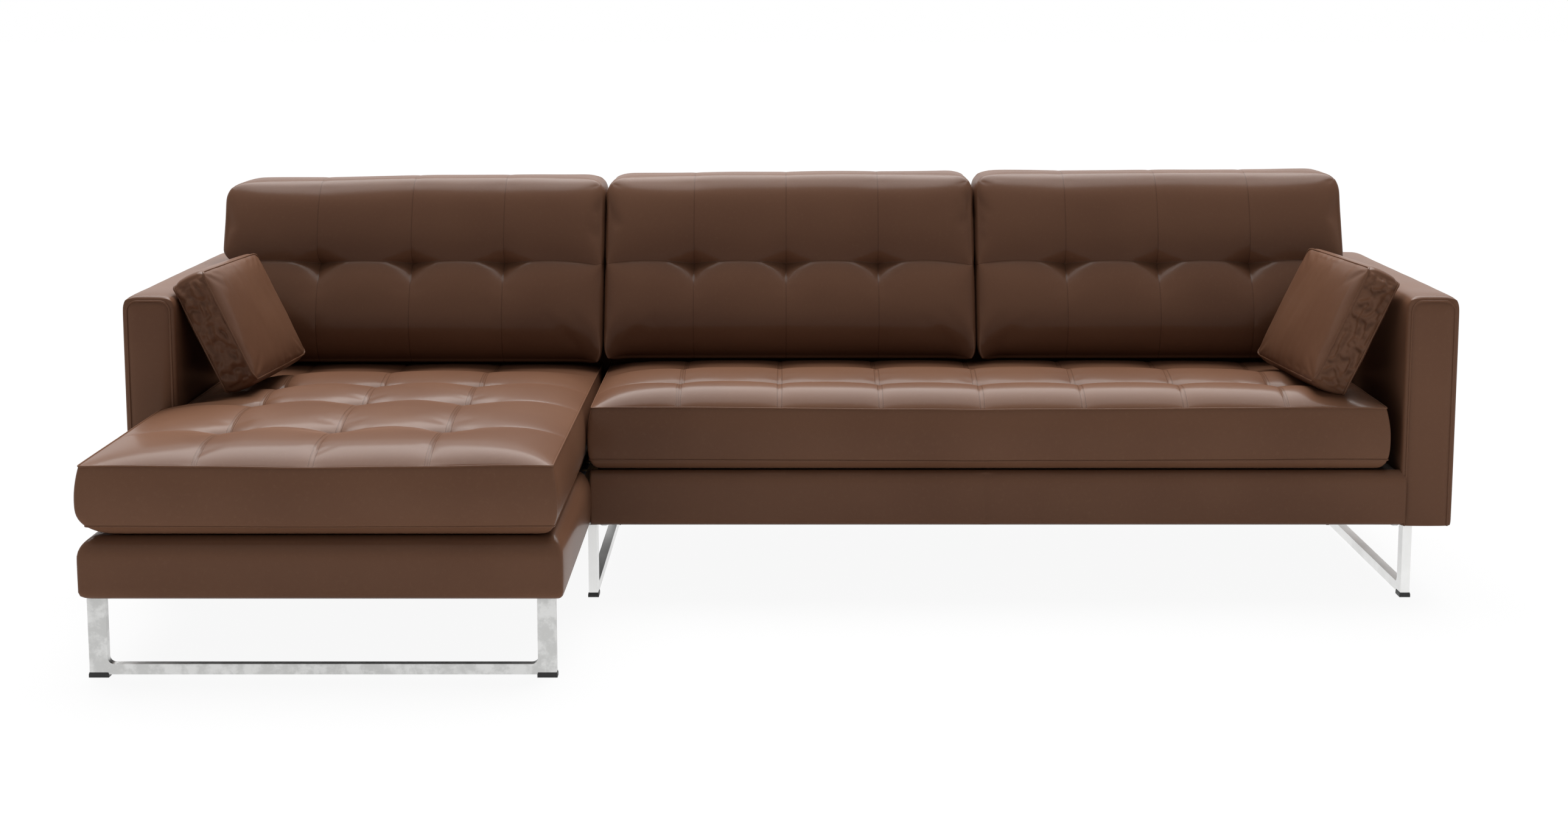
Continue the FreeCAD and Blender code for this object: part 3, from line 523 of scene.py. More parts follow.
def bell(distance, width):
    """1 at no distance, and down to about a third at one width."""
    return np.exp(-((distance / width) ** 2))


def nearest(values, stops):
    """How far each value is from the stop nearest to it."""
    return np.abs(values[:, None] - np.array(stops)[None, :]).min(axis=1)


def on_cover(hide):
    """Where grain and stitching lie: at each point's place before the cover was filled."""
    return hide.attribute("rest")


def channel_lines(first, step, count, floor):
    """Twin rows of stitches along each sewn channel, three rows on the outermost ones."""

    def lines(hide, where):
        across, along, up = split(hide, where)
        offset = abs((across - first).wrap(-step / 2, step / 2))
        last = first + step * (count - 1)
        inside = (across > first - step / 2) * (across < last + step / 2) * (up > floor)
        twin = abs(offset - 0.0042).fade(0.0005, 0.0017)
        ends = (abs(across - first) < 0.02).most(abs(across - last) < 0.02)
        twin = twin.most(offset.fade(0.0005, 0.0017) * ends)
        stitch = (along.wrap(0.0, 0.0055) < 0.0036) * abs(offset - 0.0058).fade(0.0003, 0.0009)
        return twin * inside, stitch * inside

    return lines


COVER_STEP = 0.0125
SEAT_CLEAR = 0.002
SEAT_BAND = 0.1325
LOW_SEAM = 0.297
SEAT_CROWN = 0.027
ROW_DEEP = 0.0020
SEAM_DEEP = 0.0015
CHANNEL_DEEP = 0.0030
TUFT_DEEP = 0.0180
TUFT_PIT = 0.0080
DENT = 0.008
FRONT_SAG = 0.005
DRAWN_IN = 0.043


def seat_cushion(name, body, seams, rows, lines, reach, fall, rise, slump, leaner, short, step_back=()):
    """A seat cushion's cover before it is filled. Reach says how far its left side, front, foot and right
    side are rounded, fall how soon its top comes down at its left and right ends, rise how far it swells
    between rows, and slump how much less it is crowned at the rear. A scatter cushion presses on it along
    leaner. Short is what it lacks at its right end. At step_back its left side is drawn in by the arm."""
    low, high = (np.array(corner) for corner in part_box(name))
    high[0] -= short
    edge = low[2] + SEAT_BAND
    beside = [s + gap for s in seams for gap in (-0.016, -0.007, -0.0025, 0, 0.0025, 0.007, 0.016)]
    across = [r + gap for r in rows for gap in (-0.018, -0.008, -0.003, 0, 0.003, 0.008, 0.018)]
    cushion, steps = block(
        name + "_cover",
        places(low[0] + SEAT_CLEAR, high[0] - SEAT_CLEAR, COVER_STEP, beside),
        places(low[1] + SEAT_CLEAR, high[1], COVER_STEP, [*across, *step_back]),
        places(low[2], edge, COVER_STEP, [LOW_SEAM], near=(0.004, 0.010)),
    )
    co = points(cushion.data)
    flat = co.copy()
    on_top = steps[:, 2] == steps[:, 2].max()
    on_base = steps[:, 2] == 0

    # Rounded corners, and a band that is fuller at its middle than at its seams.
    band = (flat[:, 2] - low[2]) / (edge - low[2])
    inner_low, inner_high = low + (SEAT_CLEAR, SEAT_CLEAR, 0), high - (SEAT_CLEAR, 0, 0)
    co = pillow(co, inner_low, inner_high, reach[:3], (reach[3], 0.030, 0), 10)
    draw = 0.007 * np.clip(2 * band - 1, 0, 1) ** 2 - 0.003 * np.sin(np.pi * band)
    from_left, from_right = flat[:, 0] - low[0], high[0] - flat[:, 0]
    co[:, 0] += draw * (np.exp(-from_left / 0.03) - np.exp(-from_right / 0.03))
    co[:, 1] += draw * np.exp(-(flat[:, 1] - low[1]) / 0.03)
    if step_back:
        inward = DRAWN_IN * np.clip((co[:, 1] - step_back[0]) / (step_back[-1] - step_back[0]), 0, 1)
        co[:, 0] += inward * np.clip((low[0] + 0.15 - co[:, 0]) / 0.15, 0, 1)
        from_left = np.maximum(from_left - inward, 0)
    inset = np.minimum(np.minimum(from_left, from_right), flat[:, 1] - low[1])
    inset = np.maximum(np.minimum(inset, high[1] - flat[:, 1]), 0)

    # A crowned top that comes down at its ends.
    from_seam = nearest(co[:, 0], seams)
    from_row = nearest(co[:, 1], rows)
    stops = [low[1], *rows, high[1]]
    strip = np.interp(co[:, 1], stops, range(len(stops)))
    crown = SEAT_CROWN + rise * np.abs(np.sin(np.pi * strip)) ** 0.8
    crown *= (1 - np.exp(-from_left / fall[0])) * (1 - np.exp(-from_right / fall[1]))
    crown *= 1 - np.exp(-np.minimum(flat[:, 1] - low[1], high[1] - flat[:, 1]) / 0.024)
    crown *= 1 - slump * np.sin(np.pi / 2 * np.clip((co[:, 1] - 0.16) / 0.24, 0, 1)) ** 2

    # Sewn rows and channels, a tuft where they cross, and the dent under the scatter cushion.
    fade = np.clip(inset / 0.045, 0, 1)
    crease = ROW_DEEP * np.exp(-from_row / 0.010)
    channel = CHANNEL_DEEP * np.exp(-from_seam / 0.022)
    dip = crease + SEAM_DEEP * bell(from_seam, 0.005) + channel
    tuft = np.exp(-from_seam / 0.042 - from_row / 0.026)
    dip += TUFT_DEEP * tuft + TUFT_PIT * np.exp(-from_seam / 0.016 - from_row / 0.012)
    middle, front, rear = leaner
    pressed = np.clip((co[:, 1] - front) / 0.05, 0, 1) * np.clip((rear - co[:, 1]) / 0.05, 0, 1)
    dip += DENT * bell(co[:, 0] - middle, 0.032) * pressed

    # The front edge hangs a little between its ends, and the band puckers near its corners.
    along = (co[:, 0] - low[0]) / (high[0] - low[0])
    sag = FRONT_SAG * np.sin(np.pi * along) ** 2 * (flat[:, 1] < low[1] + 0.3)
    sag = (sag + 0.0012 * rough(flat * np.array([1, 0, 0]), 7.0, 3)) * np.clip(band * 4, 0, 1)
    co[:, 2] = np.where(on_top, edge + crown - dip * fade, co[:, 2]) - sag
    ends = np.exp(-np.minimum(from_left, from_right) / 0.09) * np.sin(np.pi * band)
    ripple = rough(flat * np.array([1, 0.4, 0.18]), 55.0, 5)
    co[:, 1] += (steps[:, 1] == 0) * 0.0012 * ends * ripple * np.clip(from_right / 0.02, 0, 1)
    put(cushion.data, co)
    keep_rest(cushion, co)

    # Held along its welted seams, its underside and its tufts while it is filled.
    rim = (inset < 0.0021) & (on_top | (np.abs(flat[:, 2] - LOW_SEAM) < 0.0005))
    held = on_base | rim | (on_top & (from_seam < 0.008) & (from_row < 0.009))
    cap = np.where(on_top, 0.0055 - 0.004 * tuft, 0.003)
    beside_arm = (co[:, 1] > -0.135) & ~on_top
    cap = np.where(beside_arm, 0.0012, cap)
    material = leather(name + "_leather", on_cover, lines)
    loose.append((cushion, steps, co, held, cap, material, name, body))


CHAISE_CHANNEL = 0.215
CHAISE_SEAMS = [-1.103, -0.888, -0.673]
CHAISE_ROWS = [-0.5025, -0.1775, 0.0675, 0.3075]
CHANNEL = 0.213
BENCH_SEAMS = [-0.237 + CHANNEL * i for i in range(7)]
BENCH_ROWS = [0.0675, 0.3075]
sewn_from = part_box("bench_seat_cushion")[0][2] + 0.1305
seat_cushion(
    "chaise_seat_cushion", "chaise_seat", CHAISE_SEAMS, CHAISE_ROWS,
    channel_lines(CHAISE_SEAMS[0], CHAISE_CHANNEL, len(CHAISE_SEAMS), sewn_from),
    reach=(0.070, 0.034, 0.052, 0.028), fall=(0.110, 0.055), rise=0.005, slump=0.80,
    leaner=(-1.172, -0.12, 0.33), short=0, step_back=(-0.146, -0.1355),
)
seat_cushion(
    "bench_seat_cushion", "bench_seat", BENCH_SEAMS, BENCH_ROWS,
    channel_lines(BENCH_SEAMS[0], CHANNEL, len(BENCH_SEAMS), sewn_from),
    reach=(0.022, 0.030, 0.045, 0.020), fall=(0.055, 0.130), rise=0.013, slump=0.55,
    leaner=(1.152, -0.08, 0.38), short=0.024,
)


# ---- Back cushions ----
# Fibre-filled leather cushions that stand on the seat and lean on the back. Three seams run up
# the front and over the top, and one seam crosses them through a row of three tufts.

TUFT_ROW = 0.205
BACK_DEPTH_LOW = 0.222
BACK_DEPTH_HIGH = 0.165
DECK_TOP = 0.276
BACK_TOP = 0.645
BACK_SLOPE = 0.120 / (BACK_TOP - DECK_TOP)
FOOT_DRAWN_IN = 0.062
ARCH = 0.011
BACK_ROW_DEEP = 0.0060
BACK_SEAM_DEEP = 0.0010
BACK_TUFT_DEEP = 0.026
BACK_TUFT_PIT = 0.012
BELLY_LOW = 0.009
BELLY_HIGH = 0.012
OVER_ARM = 0.034


def back_lines(middle, row):
    """The three upright seams and the one that crosses them. No thread shows beside them."""

    def lines(hide, where):
        across, _, up = split(hide, where)
        offset = abs((across - middle).wrap(-CHANNEL / 2, CHANNEL / 2))
        inside = abs(across - middle) < 0.28
        upright = offset.fade(0.0004, 0.0016) * inside
        level = abs(up - row).fade(0.0004, 0.0016)
        return upright.most(level), upright * 0.0

    return lines


def back_cushion(name, body, seed, sink_left, sink_right, sewn, settle):
    """A back cushion's cover before it is filled. Sewn is where its middle seam stands, settle how deep it
    lies in the seat, and its top is sunk by one amount at its left end and another at its right."""
    low, high = (np.array(corner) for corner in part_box(name))
    seams = [sewn - CHANNEL, sewn, sewn + CHANNEL]
    low[2] -= settle
    low[0] += 0.002 if sewn < -0.5 else -0.001
    high[0] -= 0.002 if sewn > 0.5 else -0.001
    tall = high[2] - low[2]
    row = TUFT_ROW + settle
    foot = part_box("sofa_deck")[1][1] - 0.0005
    beside = [s + gap for s in seams for gap in (-0.018, -0.008, -0.003, 0, 0.003, 0.008, 0.018)]
    level = [row + gap for gap in (-0.030, -0.016, -0.008, -0.003, 0, 0.003, 0.008, 0.016, 0.030)]
    cushion, steps = block(
        name + "_cover",
        places(low[0], high[0], COVER_STEP, beside),
        places(0, BACK_DEPTH_LOW, 0.016, near=(0.006, 0.016, 0.030)),
        places(0, tall, COVER_STEP, level, near=(0.006, 0.014, 0.024, 0.036)),
    )
    co = points(cushion.data)
    flat = co.copy()

    # Shaped upright and straight first: rounded edges, and a foot that is drawn in.
    co = pillow(
        co, (low[0], 0, 0), (high[0], BACK_DEPTH_LOW, tall), (0.030, 0.030, 0.030), (0.030, 0.022, 0.044), 4,
    )
    from_side = np.minimum(flat[:, 0] - low[0], high[0] - flat[:, 0])
    under = np.clip(1 - flat[:, 2] / 0.078, 0, 1) * np.clip(from_side / 0.05, 0, 1) ** 0.7
    co[:, 1] += FOOT_DRAWN_IN * under * (1 - flat[:, 1] / BACK_DEPTH_LOW)
    inset = np.minimum(from_side, np.minimum(flat[:, 2], tall - flat[:, 2]))
    fade = np.clip(inset / 0.05, 0, 1)
    on_front = steps[:, 1] == 0
    on_top = steps[:, 2] == steps[:, 2].max()
    on_rear = steps[:, 1] == steps[:, 1].max()
    on_base = steps[:, 2] == 0

    # The crossing seam arches between tufts. Each tuft pulls the front in, and it bulges between them.
    from_seam = nearest(flat[:, 0], seams)
    from_row = np.abs(flat[:, 2] - row)
    arch = ARCH * np.abs(np.sin(np.pi * (flat[:, 0] - sewn) / CHANNEL)) ** 0.8
    co[:, 2] += arch * bell(from_row, 0.09) * on_front
    crease = BACK_ROW_DEEP * np.exp(-from_row / 0.013)
    dip = (crease + BACK_SEAM_DEEP * bell(from_seam, 0.004)) * np.clip(fade * 2, 0, 1)
    below = flat[:, 2] < row
    tuft = np.clip(1 - from_seam / 0.062 - from_row / np.where(below, 0.048, 0.038), 0, 1)
    pit = BACK_TUFT_PIT * np.exp(-from_seam / 0.030 - from_row / 0.020)
    dip += (BACK_TUFT_DEEP * tuft ** 1.3 + pit) * fade
    channel = np.where(below, (flat[:, 2] / row) ** 2, (flat[:, 2] - row) / (tall - row))
    belly = np.where(below, BELLY_LOW, BELLY_HIGH) * np.clip(from_side / 0.06, 0, 1) ** 0.7
    dip -= belly * np.sin(np.pi * np.clip(channel, 0, 1)) ** 0.9
    co[:, 1] += np.where(on_front, dip, 0)

    # An uneven top that sinks.
    wave = 0.0035 * rough(flat * np.array([1, 0.2, 0]), 5.5, seed) * np.clip((flat[:, 2] - row) / 0.15, 0, 1)
    co[:, 2] += wave - np.where(on_top, 0.0008 * bell(from_seam, 0.005), 0)
    along = (flat[:, 0] - low[0]) / (high[0] - low[0])
    sink = sink_left + (sink_right - sink_left) * along
    co[:, 2] -= sink * np.clip((co[:, 2] - row) / (tall - row), 0, 1)

    # Leant on the sloping back, deep at the foot and thinner at the top.
    share = 1 - co[:, 1] / BACK_DEPTH_LOW
    height = low[2] + co[:, 2]
    rear = foot + (height - DECK_TOP) * BACK_SLOPE
    depth = BACK_DEPTH_LOW + (BACK_DEPTH_HIGH - BACK_DEPTH_LOW) * co[:, 2] / tall
    rest = np.stack([flat[:, 0], flat[:, 1], low[2] + flat[:, 2]], axis=1)
    co = np.stack([co[:, 0], rear - depth * share, height], axis=1)
    if sewn < -0.5:  # The left one swells over the arm beside it.
        over_arm = np.exp(-(co[:, 0] - low[0]) / 0.10) * np.clip((height - 0.652) / 0.022, 0, 1) ** 0.5
        co[:, 0] -= OVER_ARM * over_arm
    put(cushion.data, co)
    keep_rest(cushion, rest)

    # Held along its crossing seam and tufts, its rear and its underside while it is filled.
    pulled = on_front & (from_row < 0.009) & (from_seam < 0.009)
    held = on_rear | on_base | pulled | (on_front & (from_row < 0.0006))
    near_tuft = np.exp(-from_seam / 0.05 - from_row / 0.04)
    cap = np.where(on_top, 0.004, 0.006 - 0.004 * near_tuft * on_front)
    at_side = (steps[:, 0] == 0) | (steps[:, 0] == steps[:, 0].max())
    cap = np.where(at_side, 0.0022, cap)
    cap = np.where(at_side & (np.abs(co[:, 0]) > 1.2), 0.0012, cap)
    material = leather(name + "_leather", on_cover, back_lines(sewn, low[2] + row))
    loose.append((cushion, steps, co, held, cap, material, name, body))


for place, seed, sink_left, sink_right, sewn, settle in (
    ("chaise", 1, 0.020, 0.012, -0.876, 0.018),
    ("middle", 2, 0.009, 0.003, -0.010, 0.010),
    ("right", 3, 0.004, 0.000, 0.850, 0.010),
):
    back_cushion(f"{place}_back_cushion", f"{place}_back", seed, sink_left, sink_right, sewn, settle)


# ---- Scatter cushions ----
# Two loose box cushions that lean on the arms: smooth faces, a narrow band between two welted
# seams, and leather gathered into deep creases at each end.

SCATTER_LEAN = 25.5
OUTLINE_ROUND = 0.028
EDGE_ROUND = 0.013
END_ROUND = 0.010
GATHER_DEEP = 0.0190
FACE_FULL = 0.012
BAND_FULL = 0.004
for side, sign, yaw, shift, thick, long, tall in (
    ("left", 1, 4.5, (0, 0, -0.003), 0.074, 0.412, 0.258),
    ("right", -1, 5.5, (-0.018, -0.008, 0.0), 0.076, 0.442, 0.274),
):
    name = f"{side}_scatter_cushion"
    cushion, steps = block(
        name + "_cover",
        places(-thick / 2, thick / 2, 0.005, near=(0.004, 0.010)),
        places(-long / 2, long / 2, 0.008),
        places(-tall / 2, tall / 2, 0.005),
    )
    co = points(cushion.data)
    flat = co.copy()
    co = round_off(co, [1, 2], (-long / 2, -tall / 2), (long / 2, tall / 2), OUTLINE_ROUND)
    co = round_off(co, [0, 2], (-thick / 2, -tall / 2), (thick / 2, tall / 2), EDGE_ROUND)
    co = round_off(co, [0, 1], (-thick / 2, -long / 2), (thick / 2, long / 2), END_ROUND)
    on_end = (steps[:, 1] == 0) | (steps[:, 1] == steps[:, 1].max())
    on_face = (steps[:, 0] == 0) | (steps[:, 0] == steps[:, 0].max())
    within = np.clip((thick / 2 - np.abs(flat[:, 0])) / 0.012, 0, 1)
    within *= np.clip((tall / 2 - np.abs(flat[:, 2])) / 0.02, 0, 1)

    # Gathers at the ends, and a full face with shallow creases that run in from its rim.
    crumple = np.array([
        noise.ridged_multi_fractal(Vector((p[0] * 52, p[1] * 4 + sign, p[2] * 32)), 0.8, 2.1, 3, 0.9, 2.0)
        for p in flat[on_end]
    ])
    folds = np.clip(crumple - crumple.mean(), -0.25, 0.45)
    co[on_end, 1] -= np.sign(flat[on_end, 1]) * GATHER_DEEP * within[on_end] * folds
    full = np.cos(np.pi * flat[:, 1] / long) * np.cos(np.pi * flat[:, 2] / tall)
    from_rim = np.minimum(long / 2 - np.abs(flat[:, 1]), tall / 2 - np.abs(flat[:, 2]))
    creases = rough(flat * np.array([1, 2.2, 0.8]), 16.0, 8 + sign) * 0.0014
    creases += rough(flat * np.array([1, 1.0, 0.3]), 60.0, 18 + sign) * 0.0016 * np.exp(-from_rim / 0.035)
    bulge = FACE_FULL * np.clip(full, 0, 1) ** 0.45 + creases * np.clip(from_rim / 0.01, 0, 1)
    co[:, 0] += np.where(on_face, np.sign(flat[:, 0]) * bulge, 0)
    on_band = (np.abs(flat[:, 2]) > tall / 2 - 0.0005) & ~on_face & ~on_end
    wrinkles = rough(flat * np.array([0.5, 1, 1]), 48.0, 28 + sign) * 0.0028 * within ** 0.5
    domed = BAND_FULL * (1 - (2 * flat[:, 0] / thick) ** 2)
    co[:, 2] += np.where(on_band, np.sign(flat[:, 2]) * (wrinkles + domed), 0)

    # Leant on the arm and turned a little from it.
    turn = Euler((0, -sign * math.radians(SCATTER_LEAN), 0)).to_matrix()
    turn = np.array(Euler((0, 0, -sign * math.radians(yaw))).to_matrix() @ turn)
    low, high = (np.array(corner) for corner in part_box(name))
    co = co @ turn.T + (low + high) / 2 + shift
    put(cushion.data, co)
    keep_rest(cushion, flat)
    rim = (np.abs(np.abs(flat[:, 0]) - thick / 2) < 0.0005) & (
        (np.abs(np.abs(flat[:, 1]) - long / 2) < 0.0005) | (np.abs(np.abs(flat[:, 2]) - tall / 2) < 0.0005)
    )
    cap = np.where(on_face, 0.005, 0.003)
    material = leather(name + "_leather", on_cover)
    loose.append((cushion, steps, co, rim, cap, material, name, f"{side}_scatter"))


# ---- Filling the cushions ----
# Every cover is blown up over its filling at once, held along its seams, as the stuffing of the
# real cushions does. How far a point may move is capped, so that neighbours stay apart.

FILL_FRAMES = 20
ROOMY = 0.005
SEAT_WELT = 0.0019
shapes = [co.copy() for _, _, co, *_ in loose]
for cushion, _, _, held, cap, *_ in loose:
    sewn = cushion.vertex_groups.new(name="sewn")
    sewn.add([int(i) for i in np.flatnonzero(held)], 1.0, "REPLACE")
    roomy = cushion.vertex_groups.new(name="roomy")
    roomy.add([int(i) for i in np.flatnonzero(cap > ROOMY)], 1.0, "REPLACE")
    cloth = cushion.modifiers.new("Filling", "CLOTH")
    leather_cloth = cloth.settings
    leather_cloth.quality = 4
    leather_cloth.mass = 0.3
    leather_cloth.tension_stiffness = 12
    leather_cloth.compression_stiffness = 12
    leather_cloth.shear_stiffness = 6
    leather_cloth.bending_stiffness = 0.8
    leather_cloth.vertex_group_mass = "sewn"
    leather_cloth.use_pressure = True
    leather_cloth.uniform_pressure_force = 4
    leather_cloth.vertex_group_shrink = "roomy"
    leather_cloth.shrink_min = 0.0
    leather_cloth.shrink_max = -0.02
    leather_cloth.effector_weights.gravity = 0
    cloth.collision_settings.use_collision = False
    cloth.point_cache.frame_start = 1
    cloth.point_cache.frame_end = FILL_FRAMES
for moment in range(1, FILL_FRAMES + 1):
    bpy.context.scene.frame_set(moment)
graph = bpy.context.evaluated_depsgraph_get()
for i, (cushion, _, co, _, cap, *_) in enumerate(loose):
    filled = cushion.evaluated_get(graph)
    moved = points(filled.to_mesh()) - co
    filled.to_mesh_clear()
    length = np.maximum(np.linalg.norm(moved, axis=1), 1e-9)
    shapes[i] = co + moved * (cap * np.tanh(length / cap) / length)[:, None]
for cushion, *_ in loose:
    cushion.modifiers.clear()
bpy.context.scene.frame_set(1)


def loop(steps, fixed, level, axes):
    """The points of a cover along a rectangle of its steps, in order round it."""
    chosen = np.flatnonzero(steps[:, fixed] == level)
    first, second = axes
    low = steps[:, axes].min(axis=0)
    high = steps[:, axes].max(axis=0)
    sides = [[], [], [], []]
    for i in chosen:
        a, b = steps[i, first], steps[i, second]
        if b == low[1]:
            sides[0].append((a, i))
        elif a == high[0]:
            sides[1].append((b, i))
        elif b == high[1]:
            sides[2].append((-a, i))
        elif a == low[0]:
            sides[3].append((-b, i))
    return [i for side in sides for _, i in sorted(side)]


for (cushion, steps, co, _, _, material, name, body), filled in zip(loose, shapes):
    put(cushion.data, filled)
    dress(cushion, material)
    smooth(cushion)
    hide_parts(name)
    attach(cushion, body)
    if name.endswith("seat_cushion"):
        seam_level = steps[np.abs(co[:, 2] - LOW_SEAM).argmin(), 2]
        for word, level in (("top", steps[:, 2].max()), ("low", seam_level)):
            ring = filled[loop(steps, 2, level, [0, 1])]
            welt(f"{name}_{word}_welt", ring, SEAT_WELT, body, closed=True)
    elif name.endswith("scatter_cushion"):
        for word, level in (("left", 0), ("right", steps[:, 0].max())):
            ring = filled[loop(steps, 0, level, [1, 2])]
            welt(f"{name}_{word}_welt", ring, WELT, body, closed=True)


# ---- Sled legs ----
# Each is bent from flat steel tube, welded shut and brushed along its length. The one under the
# chaise's front has a cloudy finish, and the three under the sides and middle a brighter satin.


def steel(name, light, dark, clouds, stretch):
    """Brushed steel. Stretch is least along the brushing, and clouds is how fine its cloudiness is."""
    metal = Finish(name, IOR=2.5)
    where = metal.object_place()
    grainy = metal.node("Mapping", None, {"Vector": where, "Scale": stretch})
    brushed = metal.speckle(grainy, 90.0, 4.0, 0.7)
    cloudy = metal.speckle(where, clouds, 5.0, 0.62)
    spots = metal.speckle(where, clouds * 4.5, 3.0, 0.6)
    tint = metal.mix(cloudy.fade(0.58, 0.40), light, dark)
    tint = metal.mix(spots.fade(0.70, 0.52) * 0.3, tint, light)
    metal.set("Base Color", metal.mix(brushed * 0.25, tint, dark))
    metal.set("Metallic", 1.0)
    metal.set("Roughness", 0.30 + brushed * 0.16 + cloudy * 0.10)
    metal.set("Normal", metal.bump(brushed, 0.0001, 0.5))
    return metal.material


front_steel = steel(
    "front_sled_steel", (0.74, 0.74, 0.73), (0.58, 0.58, 0.57), clouds=30.0, stretch=(0.4, 8.0, 8.0),
)
side_steel = steel(
    "side_sled_steel", (0.94, 0.94, 0.93), (0.84, 0.84, 0.83), clouds=3.0, stretch=(8.0, 8.0, 0.4),
)
dress(nodes["chaise_front_sled"], front_steel)
for name in ("left_sled", "center_sled", "right_sled"):
    dress(nodes[name], side_steel)


# ---- Glide pads ----
# Black moulded pads pushed on under the sleds' posts. Each has a thin lip that turns up round
# the post.

black = Finish("black_plastic", Roughness=0.5)
pits = black.speckle(black.object_place(), 900.0, 2.0)
black.set("Base Color", black.mix(pits, (0.012, 0.012, 0.012), (0.024, 0.024, 0.024)))
black.set("Normal", black.bump(pits, 0.0001, 0.4))
PAD_HEIGHT = 0.006
LIP_WIDE = 0.0015
LIP_HIGH = 0.004
GLIDES = [(x, y, 0.020, 0.035) for x in (-1.306, -0.420, 1.306) for y in (-0.095, 0.665)]
GLIDES += [(x, -0.762, 0.035, 0.020) for x in (-1.3015, -0.459)]
pads = bmesh.new()
for x, y, wide, deep in GLIDES:
    made = bmesh.ops.create_cube(pads, size=1)["verts"]
    bmesh.ops.scale(pads, vec=(wide + 2 * LIP_WIDE, deep + 2 * LIP_WIDE, PAD_HEIGHT), verts=made)
    bmesh.ops.translate(pads, vec=(x, y, PAD_HEIGHT / 2), verts=made)
    faces = {f for v in made for f in v.link_faces}
    top = [f for f in faces if f.normal.z > 0.9]
    inner = bmesh.ops.inset_region(pads, faces=top, thickness=LIP_WIDE)
    rim = {v for f in inner["faces"] for v in f.verts} & set(made)
    bmesh.ops.translate(pads, vec=(0, 0, LIP_HIGH), verts=list(rim))
bmesh.ops.bevel(
    pads, geom=list(pads.edges), offset=0.0005, segments=2, profile=0.5, affect="EDGES", material=-1,
)
bmesh.ops.recalc_face_normals(pads, faces=list(pads.faces))
pad_mesh = bpy.data.meshes.new("sled_glides")
pads.to_mesh(pad_mesh)
pads.free()
glides = bpy.data.objects.new("sled_glides", pad_mesh)
bpy.context.scene.collection.objects.link(glides)
dress(glides, black.material)
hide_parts("glide_pads")
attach(glides, "frame")


# ---- Plates, screws, hooks and catches ----
# Zinc-plated steel: plates welded to the sled posts, hexagonal coach screws, and the hooks that
# drop over catches to join the modules.

zinc = Finish("zinc_plate", Metallic=1.0, IOR=2.5)
where = zinc.object_place()
film = zinc.speckle(where, 45.0, 4.0, 0.6)
zinc.set("Base Color", zinc.mix(film, (0.62, 0.62, 0.60), (0.48, 0.49, 0.50)))
zinc.set("Roughness", 0.30 + film * 0.18)
for name in ("mounting_plates", "sled_screws", "arm_screws", "connector_hooks", "connector_catches"):
    dress(nodes[name], zinc.material)


# ---- Timber ----
# Planed softwood rails and ribs, glued and screwed, with the grain along the boards.

wood = Finish("planed_timber", Specular_IOR_Level=0.3)
where = wood.object_place()
fibres = wood.speckle(wood.node("Mapping", None, {"Vector": where, "Scale": (3.0, 9.0, 60.0)}), 4.0, 5.0, 0.6)
rings = wood.node(
    "TexWave", {"wave_type": "BANDS", "bands_direction": "Z"},
    {"Vector": where, "Scale": 22.0, "Distortion": 6.0, "Detail": 3.0, "Detail Scale": 1.2}, out=1,
)
timber = wood.mix(rings * 0.6, (0.52, 0.36, 0.20), (0.38, 0.24, 0.12))
wood.set("Base Color", wood.mix(fibres * 0.4, timber, (0.60, 0.44, 0.27)))
wood.set("Roughness", 0.55 + fibres * 0.2)
wood.set("Normal", wood.bump(fibres, 0.0004, 0.5))
TIMBER = [
    "chaise_back_board", "chaise_back_rail", "chaise_back_ribs", "chaise_cross_rails", "chaise_front_rail",
    "chaise_left_rail", "chaise_packing_rail", "chaise_rear_rail", "chaise_right_rail", "chaise_seat_rail",
    "left_arm_frame", "right_arm_frame", "sofa_back_board", "sofa_back_rail", "sofa_back_ribs",
    "sofa_cross_rails", "sofa_front_rail", "sofa_left_rail", "sofa_rear_rail", "sofa_right_rail",
    "sofa_seat_rail",
]
for name in TIMBER:
    dress(nodes[name], wood.material)


# ---- Webbing, decks and dust cloths ----
# Elastic webbing stapled across the rails, a felt-backed platform cloth over it, and a black
# non-woven cloth under each base.


def woven(name, light, dark, pitch, depth):
    """Plain weave of so many threads to the metre, each raised by the depth."""
    cloth = Finish(name, Specular_IOR_Level=0.2, Roughness=0.85)
    x, y, _ = split(cloth, cloth.object_place())
    warp = abs((x * pitch).wrap(-0.5, 0.5)).fade(0.5, 0.1)
    weft = abs((y * pitch).wrap(-0.5, 0.5)).fade(0.5, 0.1)
    weave = warp * weft
    cloth.set("Base Color", cloth.mix(weave, light, dark))
    cloth.set("Normal", cloth.bump(1.0 - weave, depth, 0.6))
    return cloth.material


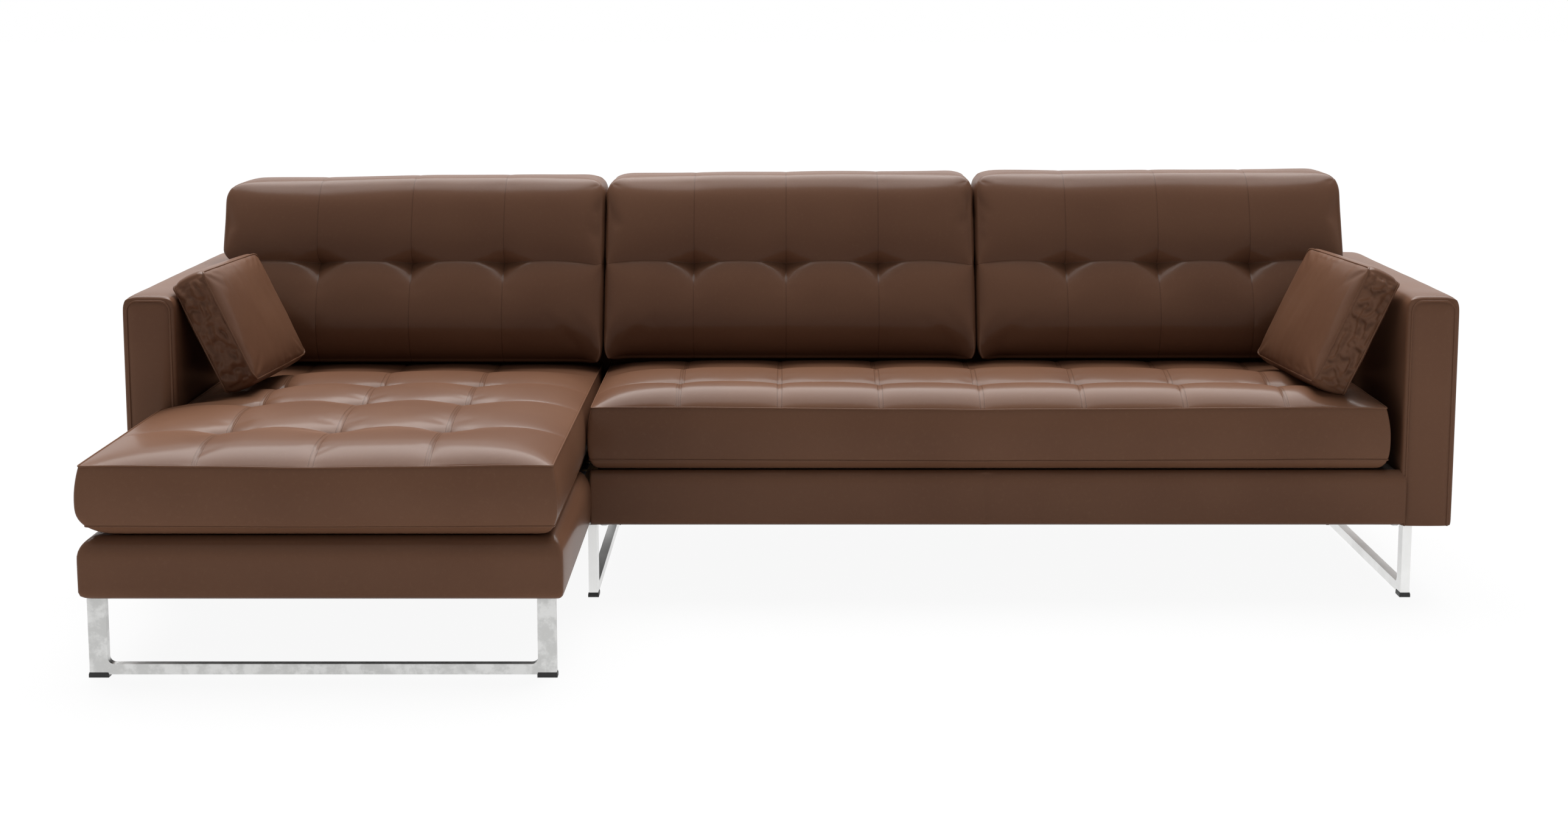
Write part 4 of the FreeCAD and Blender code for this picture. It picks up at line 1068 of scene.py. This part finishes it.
webbing = woven("elastic_webbing", (0.05, 0.05, 0.055), (0.015, 0.015, 0.016), pitch=350.0, depth=0.0004)
platform = woven("platform_cloth", (0.035, 0.024, 0.018), (0.014, 0.010, 0.008), pitch=500.0, depth=0.0003)
dust = woven("dust_cloth", (0.022, 0.022, 0.022), (0.010, 0.010, 0.010), pitch=700.0, depth=0.0002)
for module, left, right, front in (("chaise", -1.284, -0.444, -0.772), ("sofa", -0.411, 1.284, -0.110)):
    dress(nodes[f"{module}_webbing"], webbing)
    dress(nodes[f"{module}_dust_cloth"], dust)
    low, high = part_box(f"{module}_deck")
    deck_low = np.array([left, front, low[2]])
    deck_high = np.array([right, high[1] - 0.001, high[2] - 0.0005])
    deck, steps = block(
        f"{module}_deck_padding",
        places(left, right, 0.030), places(front, deck_high[1], 0.030),
        places(low[2], deck_high[2], 0.004, near=()),
    )
    co = points(deck.data)
    flat = co.copy()
    co = pillow(co, deck_low, deck_high, (0.030, 0.030, 0), (0.030, 0.030, 0.0075), 6)
    on_top = (steps[:, 2] == steps[:, 2].max()) * 1.0
    co[:, 2] -= on_top * 0.0010 * np.abs(rough(flat, 6.0, 9))
    put(deck.data, co)
    dress(deck, platform)
    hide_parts(f"{module}_deck")
    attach(deck, "frame")


# ---- Studio ----
# A plain white floor that runs out of view, a white surround, and one broad soft light overhead and
# a little behind the sofa.

FLOOR_TONE = 0.74
FLOOR_SHOWN_WHITE = 0.93
SURROUND_LIGHT = 0.27
floor_shape = bmesh.new()
bmesh.ops.create_grid(floor_shape, x_segments=1, y_segments=1, size=60)
floor_mesh = bpy.data.meshes.new("floor")
floor_shape.to_mesh(floor_mesh)
floor_shape.free()
floor = bpy.data.objects.new("floor", floor_mesh)
bpy.context.scene.collection.objects.link(floor)
pale = Finish("studio_floor", Roughness=0.9, Specular_IOR_Level=0.0, Base_Color=(*[FLOOR_TONE] * 3, 1.0))
rays = pale.node("LightPath").socket.node.outputs
seen = Value(pale, rays["Is Camera Ray"]).most(Value(pale, rays["Is Glossy Ray"]))
seen = seen.most(Value(pale, rays["Is Transmission Ray"]))
glow = pale.tree.nodes.new("ShaderNodeEmission")
both = pale.tree.nodes.new("ShaderNodeMixShader")
pale.feed(both.inputs[0], seen * FLOOR_SHOWN_WHITE)
pale.tree.links.new(pale.shader.outputs[0], both.inputs[1])
pale.tree.links.new(glow.outputs[0], both.inputs[2])
pale.tree.links.new(both.outputs[0], pale.tree.nodes["Material Output"].inputs[0])
dress(floor, pale.material)

scene = bpy.context.scene
world = bpy.data.worlds.new("studio")
scene.world = world
world.use_nodes = True
air = world.node_tree
sky = air.nodes["Background"]
rays = air.nodes.new("ShaderNodeLightPath")
glossy = air.nodes.new("ShaderNodeMath")
glossy.operation = "MAXIMUM"
air.links.new(rays.outputs["Is Camera Ray"], glossy.inputs[0])
air.links.new(rays.outputs["Is Glossy Ray"], glossy.inputs[1])
clear = air.nodes.new("ShaderNodeMath")
clear.operation = "MAXIMUM"
air.links.new(glossy.outputs[0], clear.inputs[0])
air.links.new(rays.outputs["Is Transmission Ray"], clear.inputs[1])
level = air.nodes.new("ShaderNodeMapRange")
level.inputs["To Min"].default_value = SURROUND_LIGHT
level.inputs["To Max"].default_value = 1.0
air.links.new(clear.outputs[0], level.inputs["Value"])
air.links.new(level.outputs[0], sky.inputs["Strength"])
sky.inputs["Color"].default_value = (1.0, 1.0, 1.0, 1.0)

lamp = bpy.data.lights.new("overhead", "SUN")
lamp.energy = 5.4
lamp.angle = math.radians(60)
holder = bpy.data.objects.new("overhead", lamp)
holder.rotation_euler = (math.radians(-29), 0, 0)
scene.collection.objects.link(holder)

camera = bpy.data.cameras.new("camera")
camera.sensor_width = 36.0
camera.sensor_fit = "HORIZONTAL"
camera.lens = 60.0
holder = bpy.data.objects.new("camera", camera)
holder.location = (-0.0147, -5.5394, 1.274)
holder.rotation_euler = (math.radians(90 - 9.26), 0, 0)
scene.collection.objects.link(holder)
scene.camera = holder
scene.view_settings.view_transform = "Standard"
